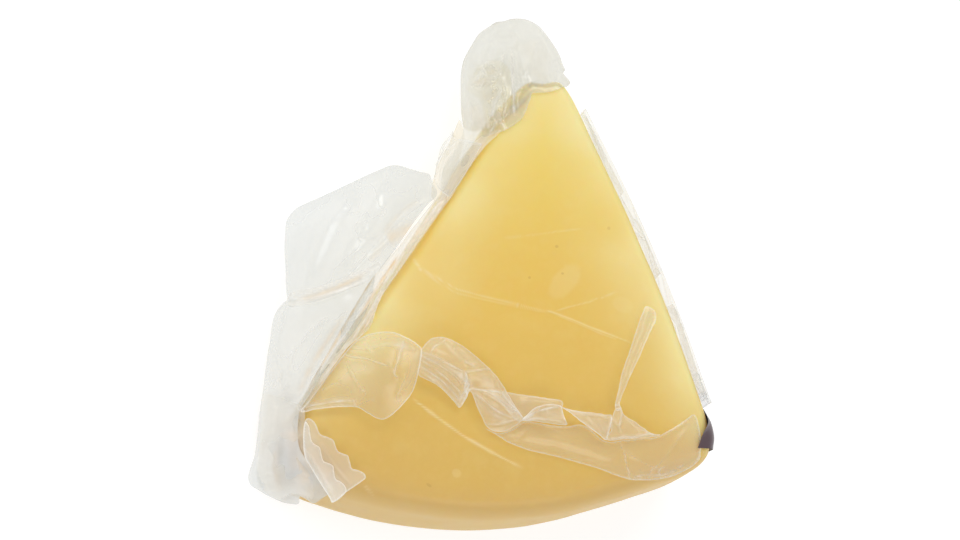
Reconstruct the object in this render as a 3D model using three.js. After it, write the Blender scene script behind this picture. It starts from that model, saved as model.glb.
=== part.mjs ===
// A wedge of firm pale-yellow cheese lying on its large face, still held in its torn clear film wrapper.
// Millimetres. +Z up, the tip of the wedge towards +Y, the rind towards -Y, the film's open end at -X -Y.
// The wrapper is one torn film; each fold, flap or torn strip of it that stands in its own plane is a thin
// closed solid of its own, so that it can be handled separately. Neighbouring solids keep a small gap.
import * as THREE from 'three';

// ---------------------------------------------------------------- driving dimensions
const CHEESE_BOTTOM = 0.8; // the wedge rests on the film under it
const CHEESE_TOP = 35.7; // height of the large upper face
const EDGE_ROUND_TOP = 1.7; // how far the top edge of the cut sides is rounded in
const RIND_ROUND_TOP = 3.4; // and the top edge of the rind
const EDGE_ROUND_BOTTOM = 1.2;
const RIND_ROUND_BOTTOM = 2.6;
const FILM = 0.4; // thickness of every film solid
const CENTRE = [-1.25, 0.55, 0]; // moves the middle of the whole piece onto the origin

// Outline of the wedge at mid height, anticlockwise from the right end of the tip.
// Each entry is x, y and how much of it belongs to the rind (1) or to a cut side (0).
const WEDGE = [
  [10.3, 46.2, 0], [4.6, 46.4, 0], [-1.0, 44.7, 0], [-8.3, 31.3, 0], [-18.0, 12.8, 0], [-24.9, -0.6, 0], [-33.8, -16.6, 0],
  [-41.3, -30.4, 0], [-48.4, -43.6, 0], [-51.3, -50.8, 0.2], [-51.9, -57.5, 0.5], [-50.0, -62.6, 0.8], [-45.6, -65.2, 1],
  [-39.4, -66.6, 1], [-31.8, -67.9, 1], [-23.4, -68.9, 1], [-11.0, -69.2, 1], [-1.0, -68.6, 1], [9.0, -67.0, 1],
  [19.0, -64.4, 1], [32.5, -59.2, 1], [45.6, -53.2, 1], [52.2, -49.8, 0.8], [55.6, -46.6, 0.5], [56.5, -42.8, 0.2],
  [54.9, -36.4, 0], [50.0, -25.2, 0], [44.6, -13.6, 0], [40.3, -5.0, 0], [34.6, 5.6, 0], [28.6, 16.6, 0], [19.4, 32.0, 0],
];

// Film under the wedge and under the two flaps at its left.
const BASE = [
  [16.0, 38.6], [-4.6, 38.6], [-9.4, 33.0], [-15.4, 27.8], [-19.6, 22.8], [-26.0, 19.4], [-40.2, 13.8], [-50.4, 8.4], [-53.2, 4.0],
  [-52.2, -6.0], [-52.6, -17.4], [-54.0, -30.0], [-55.2, -46.0], [-55.6, -58.0], [-53.6, -65.4], [-48.0, -67.4], [-39.0, -67.0],
  [-23.0, -68.6], [-11.0, -68.9], [9.0, -66.8], [19.0, -64.2], [32.5, -59.0], [45.6, -53.0], [53.2, -48.4], [56.6, -43.0],
  [55.4, -36.0], [50.4, -25.0], [40.8, -4.6], [29.0, 17.0],
];

// Centre surfaces of the film pieces: rows of x, y, z points.
const LEFT_SIDE = [
  [[-11.2, 27.4, 37], [-14.2, 28.8, 33], [-14.4, 31.6, 22], [-13.2, 34.8, 11], [-11.4, 37.6, 1.2]],
  [[-12.9, 23.3, 37], [-15.8, 25.4, 33], [-15.7, 29.9, 22], [-14.1, 34.6, 11], [-11.7, 39.1, 1.2]],
  [[-15.8, 17.1, 37], [-18.8, 19.7, 33], [-18.5, 24.6, 22], [-16.4, 29.6, 11], [-13.8, 34.4, 1.2]],
  [[-18.6, 12.1, 37.2], [-21, 14.9, 34], [-19.7, 20.4, 23], [-17.2, 25.9, 11], [-14.8, 31, 1.2]],
];
const LEFT_FLAP = [
  [[-21.5, 16.8, 34.5], [-25.5, 19.5, 31], [-29.5, 21.7, 27], [-41.1, 16.1, 21], [-51.8, 10.8, 15], [-54.9, 7.1, 9], [-53.5, 8.4, 1.4]],
  [[-21.7, 9.3, 37.2], [-26.8, 11, 34.5], [-33.5, 10.5, 29], [-43.8, 6.7, 23], [-52.4, 3.8, 16], [-54.7, 2.8, 9], [-53, 5.4, 1.4]],
  [[-25.3, 1.4, 37.2], [-30.1, 2.3, 35], [-37.4, 1.3, 30], [-45.7, -0.7, 24], [-52.4, -2, 17], [-54.3, -1.7, 9], [-52.6, 1.7, 1.4]],
  [[-29.7, -5.5, 37.2], [-34.4, -5.7, 35], [-40.6, -6.8, 30], [-46.6, -7.4, 24], [-51.3, -7.7, 17], [-53.5, -7, 9], [-51.9, -3.3, 1.4]],
  [[-33.8, -11.5, 37.2], [-37.5, -12.4, 35], [-42, -13.7, 31], [-46.4, -14.1, 26], [-50.1, -13.8, 19], [-52.6, -12.9, 10], [-51.1, -9.2, 1.4]],
];
const LOWER_FLAP = [
  [[-34.7, -14, 37.3], [-39.8, -15.5, 35], [-47.6, -18.1, 31], [-51.8, -18, 22], [-53.8, -17.4, 13], [-54.2, -17, 5], [-53, -14.2, 1.4]],
  [[-37.3, -22.2, 37.4], [-42.2, -24.3, 35.6], [-48.2, -25.5, 31], [-52.2, -24.9, 22], [-54.8, -23.9, 13], [-55.2, -23, 5], [-53.7, -21, 1.4]],
  [[-42, -31.1, 37.4], [-46.1, -33.4, 36], [-50.5, -34.7, 31], [-53.2, -34.5, 22], [-55.2, -33.9, 13], [-55.8, -33.4, 5], [-54.2, -31.8, 1.4]],
  [[-47, -40.8, 37.4], [-49.7, -42.7, 36.4], [-52.6, -44.2, 32], [-54.6, -44.3, 22], [-56, -44.3, 13], [-56.7, -44.1, 5], [-55.1, -42.8, 1.4]],
  [[-50.7, -48.4, 37.4], [-52.7, -50.3, 36.6], [-54.5, -51.9, 32], [-55.4, -52.5, 22], [-56.5, -53.3, 13], [-56.8, -53.6, 5], [-55.2, -52.6, 1.4]],
  [[-52.1, -55.6, 37.6], [-53.5, -57.9, 36.6], [-54.8, -59.1, 32], [-55.7, -59.8, 22], [-56.8, -60.6, 13], [-57.4, -61.1, 5], [-55.4, -60.8, 1.4]],
  [[-48.6, -63.4, 38], [-50.4, -64.8, 36], [-52, -65.7, 30], [-53.2, -65.4, 20], [-54.9, -64.9, 12], [-56.5, -64.3, 6], [-54.4, -64.2, 1.8]],
  [[-44.4, -69.7, 38], [-45.7, -69.9, 33], [-47.4, -69.8, 27], [-48.5, -69.1, 19], [-49.8, -68.6, 13], [-53.5, -66.8, 8], [-51.5, -66.6, 3]],
];
const TONGUE = [
  [[-40.4, -29.1, 39], [-37, -27.1, 40.5], [-32.3, -25.8, 42], [-27.4, -27.1, 43], [-23.9, -29.1, 42]],
  [[-44.3, -34.8, 39], [-39.3, -34.2, 42], [-33.6, -33.3, 44], [-28, -33.7, 44.5], [-24.3, -34.7, 42.5]],
  [[-48, -41.4, 39], [-41.9, -40.6, 41.5], [-35.4, -40.6, 43.5], [-29.3, -40.4, 44], [-25.2, -40.3, 41.5]],
  [[-51.8, -47.8, 38.8], [-45.8, -46.3, 38.9], [-39, -45.3, 39.5], [-31.2, -47.5, 40], [-26.7, -43.3, 40.2]],
];
const BAND = [
  [[-22.4, -29.1, 40], [-19.2, -25.1, 40.5], [-14.6, -25.9, 41], [-7.7, -29.4, 41], [-1.9, -33.7, 40], [2.5, -39.2, 39], [5.3, -42.6, 38.2]],
  [[-22.9, -32.2, 41], [-18.6, -31, 42], [-13.3, -33.3, 42.5], [-8.1, -34.6, 42], [-3.2, -39.8, 41], [1.2, -43.6, 39.5], [5, -43.4, 38.6]],
  [[-23, -34.7, 39], [-17.7, -37.2, 39.5], [-11.2, -41.1, 40], [-8, -38.9, 40], [-3.9, -45.5, 39.5], [0.9, -46.9, 38.6], [5, -44.2, 38.2]],
];
const STRIP = [
  [[6.8, -42.5, 38.6], [8.1, -38.9, 39.5], [11.6, -37.2, 40], [15.2, -37, 40], [22.6, -39.3, 39], [29.5, -40.9, 39.5], [36.2, -42.3, 38.6], [42.8, -42.4, 38]],
  [[7, -43.3, 39], [9.1, -41.5, 40.5], [12.3, -39.9, 41], [16.2, -39.4, 41], [22.4, -41.9, 40.5], [28.6, -43.5, 40.5], [36.1, -43.2, 39.4], [43, -43, 38.4]],
  [[7, -44.3, 38.4], [10.2, -44.7, 38.6], [13.8, -42.5, 39], [18.3, -40.5, 39.5], [23.5, -43.9, 39], [28.6, -45.6, 39], [35.8, -44.1, 38.5], [42.9, -43.4, 37.9]],
];
const LOWER_SKIN = [
  [[-3.6, -46.2, 36.4], [7, -43.6, 36.4], [15.6, -43.3, 36.4], [26.4, -44.2, 36.4], [37, -44.2, 36.4], [45.3, -41.3, 36.4], [51.6, -40.2, 36.4]],
  [[1.5, -48, 36.4], [9.1, -48.1, 36.4], [17.6, -48.6, 36.4], [27.8, -50, 36.4], [38.7, -50, 36.4], [46.3, -48, 36.4], [52.4, -46.6, 36.4]],
  [[3.4, -49.1, 36.4], [10.9, -50.5, 36.4], [21.1, -51.9, 36.4], [30.2, -53.6, 36.4], [39, -55, 36.4], [46.5, -53.5, 36.4], [53.6, -50.4, 36.4]],
];
const RIBBON = [
  [[37.1, -9.4, 38], [35.9, -16.6, 38.5], [33.5, -26.4, 39], [31.3, -35.1, 39]],
  [[38.4, -11.2, 38.6], [36.5, -18.3, 39.6], [33.9, -27.6, 40], [31.8, -35.9, 39.4]],
  [[40, -12.8, 38], [37.7, -19.8, 38.5], [35, -28.6, 39], [32.5, -37, 39]],
];

// Film standing along the right cut side: plan path from the tip end to the rind end, x, y and the direction
// away from the cheese; BULGE is how far the film stands off it at mid height.
const RIGHT_PATH = [[15.4, 40.7], [19.9, 33.2], [26.2, 22.4], [32.4, 11.4], [38.0, 1.0], [42.6, -7.8], [47.6, -18.0], [51.6, -27.0], [54.2, -32.6]];
const RIGHT_BULGE = [0.8, 1.0, 3.2, 4.6, 4.6, 3.2, 1.6, 1.3, 1.2];
const RIGHT_OUT = [0.875, 0.484];
const RIGHT_LEVELS = [[35.2, 0.15], [33.0, 0.55], [27.0, 1.0], [17.0, 0.9], [8.0, 0.55], [1.4, 0.2]];

// Label on the right side near the rind, its upper edge folded over the edge of the wedge.
const LABEL_THICKNESS = 0.4;
const LABEL = [
  [[55.4, -30.4, 30.6], [56.2, -30.4, 26.0], [56.8, -30.2, 20.0], [57.0, -30.0, 13.0], [56.8, -29.8, 7.0]],
  [[55.9, -32.8, 34.4], [57.2, -33.2, 30.2], [57.9, -33.2, 23.0], [58.2, -33.0, 14.0], [57.9, -32.8, 6.0]],
  [[54.3, -36.6, 36.7], [57.4, -36.4, 33.0], [58.6, -36.4, 25.0], [59.0, -36.2, 15.0], [58.8, -36.0, 6.6]],
  [[53.0, -40.8, 37.0], [57.4, -40.2, 34.0], [59.2, -39.8, 26.0], [59.7, -39.6, 16.0], [59.4, -39.4, 8.4]],
  [[52.1, -44.6, 37.1], [57.2, -43.7, 34.2], [59.5, -43.2, 27.0], [60.2, -42.8, 18.0], [60.0, -42.4, 10.0]],
];

// The two crimped layers of the wrapper's end seal, cut in a zigzag.
const SEAL_FRONT_LEVEL = 39.4;
const SEAL_BACK_LEVEL = 38.4;
const SEAL_FRONT = [
  [-49.3, -49.8], [-47.3, -52.6], [-43.8, -53.7], [-42.5, -56.4], [-39.4, -57.0], [-38.1, -60.2], [-34.6, -61.3], [-34.0, -62.3],
  [-39.0, -66.7], [-43.1, -70.0], [-47.6, -63.0], [-50.6, -56.0],
];
const SEAL_BACK = [
  [-50.2, -51.2], [-49.7, -54.5], [-47.2, -55.8], [-45.9, -58.9], [-43.0, -59.8], [-41.9, -63.3], [-39.5, -64.5], [-38.8, -66.5],
  [-43.2, -70.6], [-46.6, -64.6], [-50.9, -57.0],
];

// Hood of crumpled film over the tip: sections from its torn front edge to its closed end. Each row is
// y, left x, right x, top z and bottom z of the section.
const HOOD = [
  [29.0, -11.4, 21.6, 38.6, 0.2], [38.0, -12.4, 16.8, 38.6, 0.2], [46.0, -13.3, 13.4, 38.4, 0.2], [50.0, -13.6, 12.9, 37.4, 0.2],
  [54.0, -13.6, 12.6, 35.6, 0.8], [58.0, -12.2, 10.9, 32.8, 2.8], [62.0, -9.8, 8.4, 29.2, 6.0], [65.5, -6.8, 5.2, 25.4, 9.6],
  [68.0, -3.6, 3.4, 22.0, 13.2],
];
const HOOD_END = [1.0, 69.5, 17.6];
// Where the torn front edge runs at each angle round the tip, in degrees from the right side over the top.
const HOOD_FRONT = [[0, 48.6], [40, 48.0], [58, 46.9], [75, 45.2], [90, 44.0], [103, 38.4], [116, 34.6], [128, 32.2], [145, 32.6], [180, 35.8],
  [215, 39.6], [235, 42.0], [258, 43.0], [270, 44.6], [282, 47.8], [300, 48.6], [325, 48.6], [360, 48.6]];
const HOOD_SQUARE = 5.0; // how boxy its sections are

// ---------------------------------------------------------------- geometry helpers
function lerp(a, b, t) { return a + (b - a) * t; }

function table(rows, key, column) {
  if (key <= rows[0][0]) return rows[0][column];
  for (let i = 1; i < rows.length; i++) {
    if (key <= rows[i][0]) return lerp(rows[i - 1][column], rows[i][column], (key - rows[i - 1][0]) / (rows[i][0] - rows[i - 1][0]));
  }
  return rows[rows.length - 1][column];
}

// A smooth curve through the points, sampled at n times as many steps.
function smoothRow(points, n) {
  const curve = new THREE.CatmullRomCurve3(points.map((p) => new THREE.Vector3(...p)), false, 'centripetal');
  const out = [];
  const spans = points.length - 1;
  for (let i = 0; i <= spans * n; i++) out.push(curve.getPoint(i / (spans * n)));
  return out;
}

function smoothGrid(rows, nu, nv) {
  const across = rows.map((r) => smoothRow(r, nv));
  const out = across.map(() => null);
  const columns = across[0].map((_, j) => smoothRow(across.map((r) => r[j].toArray()), nu));
  return columns[0].map((_, i) => columns.map((c) => c[i]));
}

function meshFrom(vertices, triangles) {
  const g = new THREE.BufferGeometry();
  g.setAttribute('position', new THREE.Float32BufferAttribute(vertices.flatMap((v) => [v.x, v.y, v.z]), 3));
  g.setIndex(triangles.flat());
  let volume = 0;
  for (const [a, b, c] of triangles) volume += vertices[a].dot(new THREE.Vector3().crossVectors(vertices[b], vertices[c]));
  if (volume < 0) g.setIndex(triangles.map(([a, b, c]) => [a, c, b]).flat());
  g.computeVertexNormals();
  return g;
}

// A thin closed solid of even thickness about a surface given as rows of points.
function sheetGeometry(rows, thickness, nu = 1, nv = 1) {
  const p = smoothGrid(rows, nu, nv);
  const m = p.length, n = p[0].length;
  const v = [], t = [];
  const normal = (i, j) => {
    const a = p[Math.min(i + 1, m - 1)][j].clone().sub(p[Math.max(i - 1, 0)][j]);
    const b = p[i][Math.min(j + 1, n - 1)].clone().sub(p[i][Math.max(j - 1, 0)]);
    return a.cross(b).normalize();
  };
  for (const side of [0.5, -0.5]) {
    for (let i = 0; i < m; i++) for (let j = 0; j < n; j++) v.push(p[i][j].clone().addScaledVector(normal(i, j), side * thickness));
  }
  const id = (s, i, j) => s * m * n + i * n + j;
  const quad = (a, b, c, d) => t.push([a, b, c], [a, c, d]);
  for (let i = 0; i < m - 1; i++) for (let j = 0; j < n - 1; j++) {
    quad(id(0, i, j), id(0, i + 1, j), id(0, i + 1, j + 1), id(0, i, j + 1));
    quad(id(1, i, j), id(1, i, j + 1), id(1, i + 1, j + 1), id(1, i + 1, j));
  }
  for (let i = 0; i < m - 1; i++) {
    quad(id(0, i, 0), id(1, i, 0), id(1, i + 1, 0), id(0, i + 1, 0));
    quad(id(0, i, n - 1), id(0, i + 1, n - 1), id(1, i + 1, n - 1), id(1, i, n - 1));
  }
  for (let j = 0; j < n - 1; j++) {
    quad(id(0, 0, j), id(0, 0, j + 1), id(1, 0, j + 1), id(1, 0, j));
    quad(id(0, m - 1, j), id(1, m - 1, j), id(1, m - 1, j + 1), id(0, m - 1, j + 1));
  }
  return meshFrom(v, t);
}

// A solid from a stack of closed loops with the same number of points, closed by flat faces at both ends.
function stackGeometry(loops) {
  const n = loops[0].length, v = loops.flat(), t = [];
  for (let k = 0; k < loops.length - 1; k++) for (let i = 0; i < n; i++) {
    const a = k * n + i, b = k * n + ((i + 1) % n), c = a + n, d = b + n;
    t.push([a, b, d], [a, d, c]);
  }
  const flat = loops[0].map((q) => new THREE.Vector2(q.x, q.y));
  for (const [a, b, c] of THREE.ShapeUtils.triangulateShape(flat, [])) {
    t.push([c, b, a]);
    const o = (loops.length - 1) * n;
    t.push([o + a, o + b, o + c]);
  }
  return meshFrom(v, t);
}

function plateGeometry(outline, level, thickness) {
  const shape = new THREE.Shape(outline.map(([x, y]) => new THREE.Vector2(x, y)));
  const g = new THREE.ExtrudeGeometry(shape, { depth: thickness, bevelEnabled: false, steps: 1 });
  g.translate(0, 0, level - thickness / 2);
  return g;
}

// ---------------------------------------------------------------- the wedge of cheese
function wedgeGeometry() {
  const ring = WEDGE.map(([x, y, r], i) => {
    const a = WEDGE[(i + WEDGE.length - 1) % WEDGE.length], b = WEDGE[(i + 1) % WEDGE.length];
    const inward = new THREE.Vector2(-(b[1] - a[1]), b[0] - a[0]).normalize();
    return { x, y, r, inward };
  });
  const levels = [ // height above the bottom as a share, and the share of the rounding taken there
    [0.0, 1.0, 0], [0.03, 0.5, 0], [0.1, 0.16, 0], [0.3, 0.02, 0], [0.55, 0.0, 0], [0.78, 0.04, 1], [0.9, 0.18, 1], [0.965, 0.48, 1], [1.0, 1.0, 1],
  ];
  return stackGeometry(levels.map(([h, share, top]) => ring.map((q) => {
    const cut = top ? lerp(EDGE_ROUND_TOP, RIND_ROUND_TOP, q.r) : lerp(EDGE_ROUND_BOTTOM, RIND_ROUND_BOTTOM, q.r);
    const z = lerp(CHEESE_BOTTOM, CHEESE_TOP, h);
    return new THREE.Vector3(q.x + q.inward.x * cut * share, q.y + q.inward.y * cut * share, z);
  })));
}

// ---------------------------------------------------------------- the hood over the tip
function hoodGeometry() {
  const STEPS = 9, ROUND = 40;
  const point = (angle, s, inset) => {
    const front = table(HOOD_FRONT, angle, 1);
    const y = lerp(front, HOOD[HOOD.length - 1][0], s);
    const left = table(HOOD, y, 1) + inset, right = table(HOOD, y, 2) - inset, top = table(HOOD, y, 3) - inset, low = table(HOOD, y, 4) + inset;
    const c = Math.cos(angle * Math.PI / 180), q = Math.sin(angle * Math.PI / 180);
    const e = 2 / HOOD_SQUARE;
    const ux = Math.sign(c) * Math.abs(c) ** e, uz = Math.sign(q) * Math.abs(q) ** e;
    return new THREE.Vector3(lerp((left + right) / 2, ux > 0 ? right : left, Math.abs(ux)), y, lerp((low + top) / 2, uz > 0 ? top : low, Math.abs(uz)));
  };
  const v = [], t = [];
  for (const inset of [0, FILM]) {
    for (let k = 0; k <= STEPS; k++) for (let i = 0; i < ROUND; i++) v.push(point(i * 360 / ROUND, k / STEPS, inset));
  }
  const half = (STEPS + 1) * ROUND;
  const id = (s, k, i) => s * half + k * ROUND + (i % ROUND);
  for (let k = 0; k < STEPS; k++) for (let i = 0; i < ROUND; i++) {
    t.push([id(0, k, i), id(0, k, i + 1), id(0, k + 1, i + 1)], [id(0, k, i), id(0, k + 1, i + 1), id(0, k + 1, i)]);
    t.push([id(1, k, i), id(1, k + 1, i + 1), id(1, k, i + 1)], [id(1, k, i), id(1, k + 1, i), id(1, k + 1, i + 1)]);
  }
  for (let i = 0; i < ROUND; i++) t.push([id(0, 0, i), id(1, 0, i), id(1, 0, i + 1)], [id(0, 0, i), id(1, 0, i + 1), id(0, 0, i + 1)]);
  const outer = v.push(new THREE.Vector3(...HOOD_END)) - 1;
  const inner = v.push(new THREE.Vector3(HOOD_END[0], HOOD_END[1] - FILM, HOOD_END[2])) - 1;
  for (let i = 0; i < ROUND; i++) {
    t.push([id(0, STEPS, i), id(0, STEPS, i + 1), outer]);
    t.push([id(1, STEPS, i + 1), id(1, STEPS, i), inner]);
  }
  return meshFrom(v, t);
}

function rightSideGrid() {
  return RIGHT_LEVELS.map(([z, share]) => RIGHT_PATH.map(([x, y], i) => {
    const off = 0.7 + RIGHT_BULGE[i] * share;
    return [x + RIGHT_OUT[0] * off, y + RIGHT_OUT[1] * off, z];
  }));
}

// ---------------------------------------------------------------- materials and the assembly
const cheese = new THREE.MeshStandardMaterial({ color: 0xe8c878, roughness: 0.5, metalness: 0 });
const film = new THREE.MeshStandardMaterial({ color: 0xecebe6, roughness: 0.18, metalness: 0, transparent: true, opacity: 0.35, side: THREE.DoubleSide });
const crimped = new THREE.MeshStandardMaterial({ color: 0xe6e2d6, roughness: 0.35, metalness: 0, transparent: true, opacity: 0.5, side: THREE.DoubleSide });
const labelPaper = new THREE.MeshStandardMaterial({ color: 0x5e4c50, roughness: 0.45, metalness: 0 });

const wedgeInWrapper = new THREE.Group();
const wrapper = new THREE.Group();
wedgeInWrapper.add(wrapper);

function add(parent, name, geometry, material) {
  const mesh = new THREE.Mesh(geometry, material);
  mesh.name = name;
  parent.add(mesh);
}

add(wedgeInWrapper, 'cheese_wedge', wedgeGeometry(), cheese);
add(wrapper, 'film_base', plateGeometry(BASE, FILM / 2, FILM), film);
add(wrapper, 'film_hood', hoodGeometry(), film);
add(wrapper, 'film_left_side', sheetGeometry(LEFT_SIDE, FILM, 1, 2), film);
add(wrapper, 'film_left_flap', sheetGeometry(LEFT_FLAP, FILM, 2, 2), film);
add(wrapper, 'film_lower_flap', sheetGeometry(LOWER_FLAP, FILM, 1, 2), film);
add(wrapper, 'film_tongue', sheetGeometry(TONGUE, FILM, 2, 2), film);
add(wrapper, 'film_band', sheetGeometry(BAND, FILM, 2, 2), film);
add(wrapper, 'film_torn_strip', sheetGeometry(STRIP, FILM, 2, 2), film);
add(wrapper, 'film_lower_skin', sheetGeometry(LOWER_SKIN, FILM, 1, 1), film);
add(wrapper, 'film_right_side', sheetGeometry(rightSideGrid(), FILM, 1, 2), film);
add(wrapper, 'film_right_ribbon', sheetGeometry(RIBBON, FILM, 2, 2), film);
add(wrapper, 'end_seal_front', plateGeometry(SEAL_FRONT, SEAL_FRONT_LEVEL, FILM), crimped);
add(wrapper, 'end_seal_back', plateGeometry(SEAL_BACK, SEAL_BACK_LEVEL, FILM), crimped);
add(wrapper, 'label_corner', sheetGeometry(LABEL, LABEL_THICKNESS, 1, 1), labelPaper);

wedgeInWrapper.position.set(...CENTRE);

export default wedgeInWrapper;
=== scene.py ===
# A wedge of firm yellow cheese in its torn clear film wrapper: the looks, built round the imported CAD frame.
import bpy, math, random
import numpy as np
from mathutils import Vector, Matrix


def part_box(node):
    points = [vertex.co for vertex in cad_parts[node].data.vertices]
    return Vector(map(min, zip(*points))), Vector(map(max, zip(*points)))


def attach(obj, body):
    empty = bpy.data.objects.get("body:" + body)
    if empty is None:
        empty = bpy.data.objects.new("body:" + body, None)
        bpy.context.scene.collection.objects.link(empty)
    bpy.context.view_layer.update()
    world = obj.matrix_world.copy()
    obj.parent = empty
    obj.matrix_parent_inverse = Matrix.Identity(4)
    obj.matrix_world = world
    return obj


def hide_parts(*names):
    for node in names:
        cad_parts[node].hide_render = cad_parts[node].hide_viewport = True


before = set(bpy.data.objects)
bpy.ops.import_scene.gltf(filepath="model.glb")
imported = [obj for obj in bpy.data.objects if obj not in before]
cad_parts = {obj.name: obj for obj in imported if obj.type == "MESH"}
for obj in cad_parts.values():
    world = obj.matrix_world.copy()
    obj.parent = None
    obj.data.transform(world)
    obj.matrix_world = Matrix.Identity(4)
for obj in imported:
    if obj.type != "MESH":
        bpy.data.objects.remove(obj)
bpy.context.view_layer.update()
scene = bpy.context.scene
MM = 0.001
SHIFT = np.array([-1.25, 0.55, 0.0])  # millimetres, as in the CAD source: the outlines below are in its own plan numbers

# ------------------------------------------------------------------------------------------------ small maths helpers


def smoothstep(a, b, x):
    t = np.clip((x - a) / (b - a), 0.0, 1.0)
    return t * t * (3 - 2 * t)


def catmull(points, n, closed=False):
    """n samples along a centripetal-ish Catmull-Rom curve through the points (any dimension), even in parameter."""
    p = np.asarray(points, float)
    m = len(p)
    if closed:
        idx = lambda i: i % m
        spans = m
    else:
        idx = lambda i: min(max(i, 0), m - 1)
        spans = m - 1
    t = np.linspace(0, spans, n, endpoint=not closed)
    k = np.minimum(t.astype(int), spans - 1)
    f = (t - k)[:, None]
    p0 = p[[idx(i - 1) for i in k]]
    p1 = p[[idx(i) for i in k]]
    p2 = p[[idx(i + 1) for i in k]]
    p3 = p[[idx(i + 2) for i in k]]
    if not closed:
        first = k == 0
        last = k == spans - 1
        p0[first] = 2 * p1[first] - p2[first]
        p3[last] = 2 * p2[last] - p1[last]
    return 0.5 * (2 * p1 + (p2 - p0) * f + (2 * p0 - 5 * p1 + 4 * p2 - p3) * f**2 + (3 * p1 - p0 - 3 * p2 + p3) * f**3)


def even(points, n, closed=False):
    """n points evenly spaced by length along a dense polyline."""
    p = np.asarray(points, float)
    if closed:
        p = np.vstack([p, p[:1]])
    d = np.r_[0, np.cumsum(np.linalg.norm(np.diff(p, axis=0), axis=1))]
    s = np.linspace(0, d[-1], n, endpoint=not closed)
    return np.stack([np.interp(s, d, p[:, i]) for i in range(p.shape[1])], 1)


class Noise:
    """Seeded smooth value noise in 3-D, range about -1 to 1."""

    def __init__(self, seed):
        r = np.random.RandomState(seed)
        self.t = r.uniform(-1, 1, (32, 32, 32))

    def __call__(self, x, y, z=0.0):
        x, y, z = np.broadcast_arrays(np.asarray(x, float), np.asarray(y, float), np.asarray(z, float))
        xi, yi, zi = np.floor(x).astype(int), np.floor(y).astype(int), np.floor(z).astype(int)
        fx, fy, fz = x - xi, y - yi, z - zi
        sx, sy, sz = (f * f * f * (f * (f * 6 - 15) + 10) for f in (fx, fy, fz))
        out = 0
        for a in (0, 1):
            for b in (0, 1):
                for c in (0, 1):
                    w = (sx if a else 1 - sx) * (sy if b else 1 - sy) * (sz if c else 1 - sz)
                    out = out + w * self.t[(xi + a) % 32, (yi + b) % 32, (zi + c) % 32]
        return out


def mesh_object(name, verts, faces, smooth=True):
    me = bpy.data.meshes.new(name)
    me.from_pydata([tuple(v) for v in verts], [], [tuple(int(i) for i in f) for f in faces])
    me.validate()
    me.update()
    ob = bpy.data.objects.new(name, me)
    scene.collection.objects.link(ob)
    if smooth:
        me.polygons.foreach_set("use_smooth", [True] * len(me.polygons))
    return ob


def paint(ob, name, values):
    """A per-vertex number from 0 to 1, read by the materials."""
    a = ob.data.attributes.new(name, "FLOAT", "POINT")
    a.data.foreach_set("value", np.asarray(values, np.float32))


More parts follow.
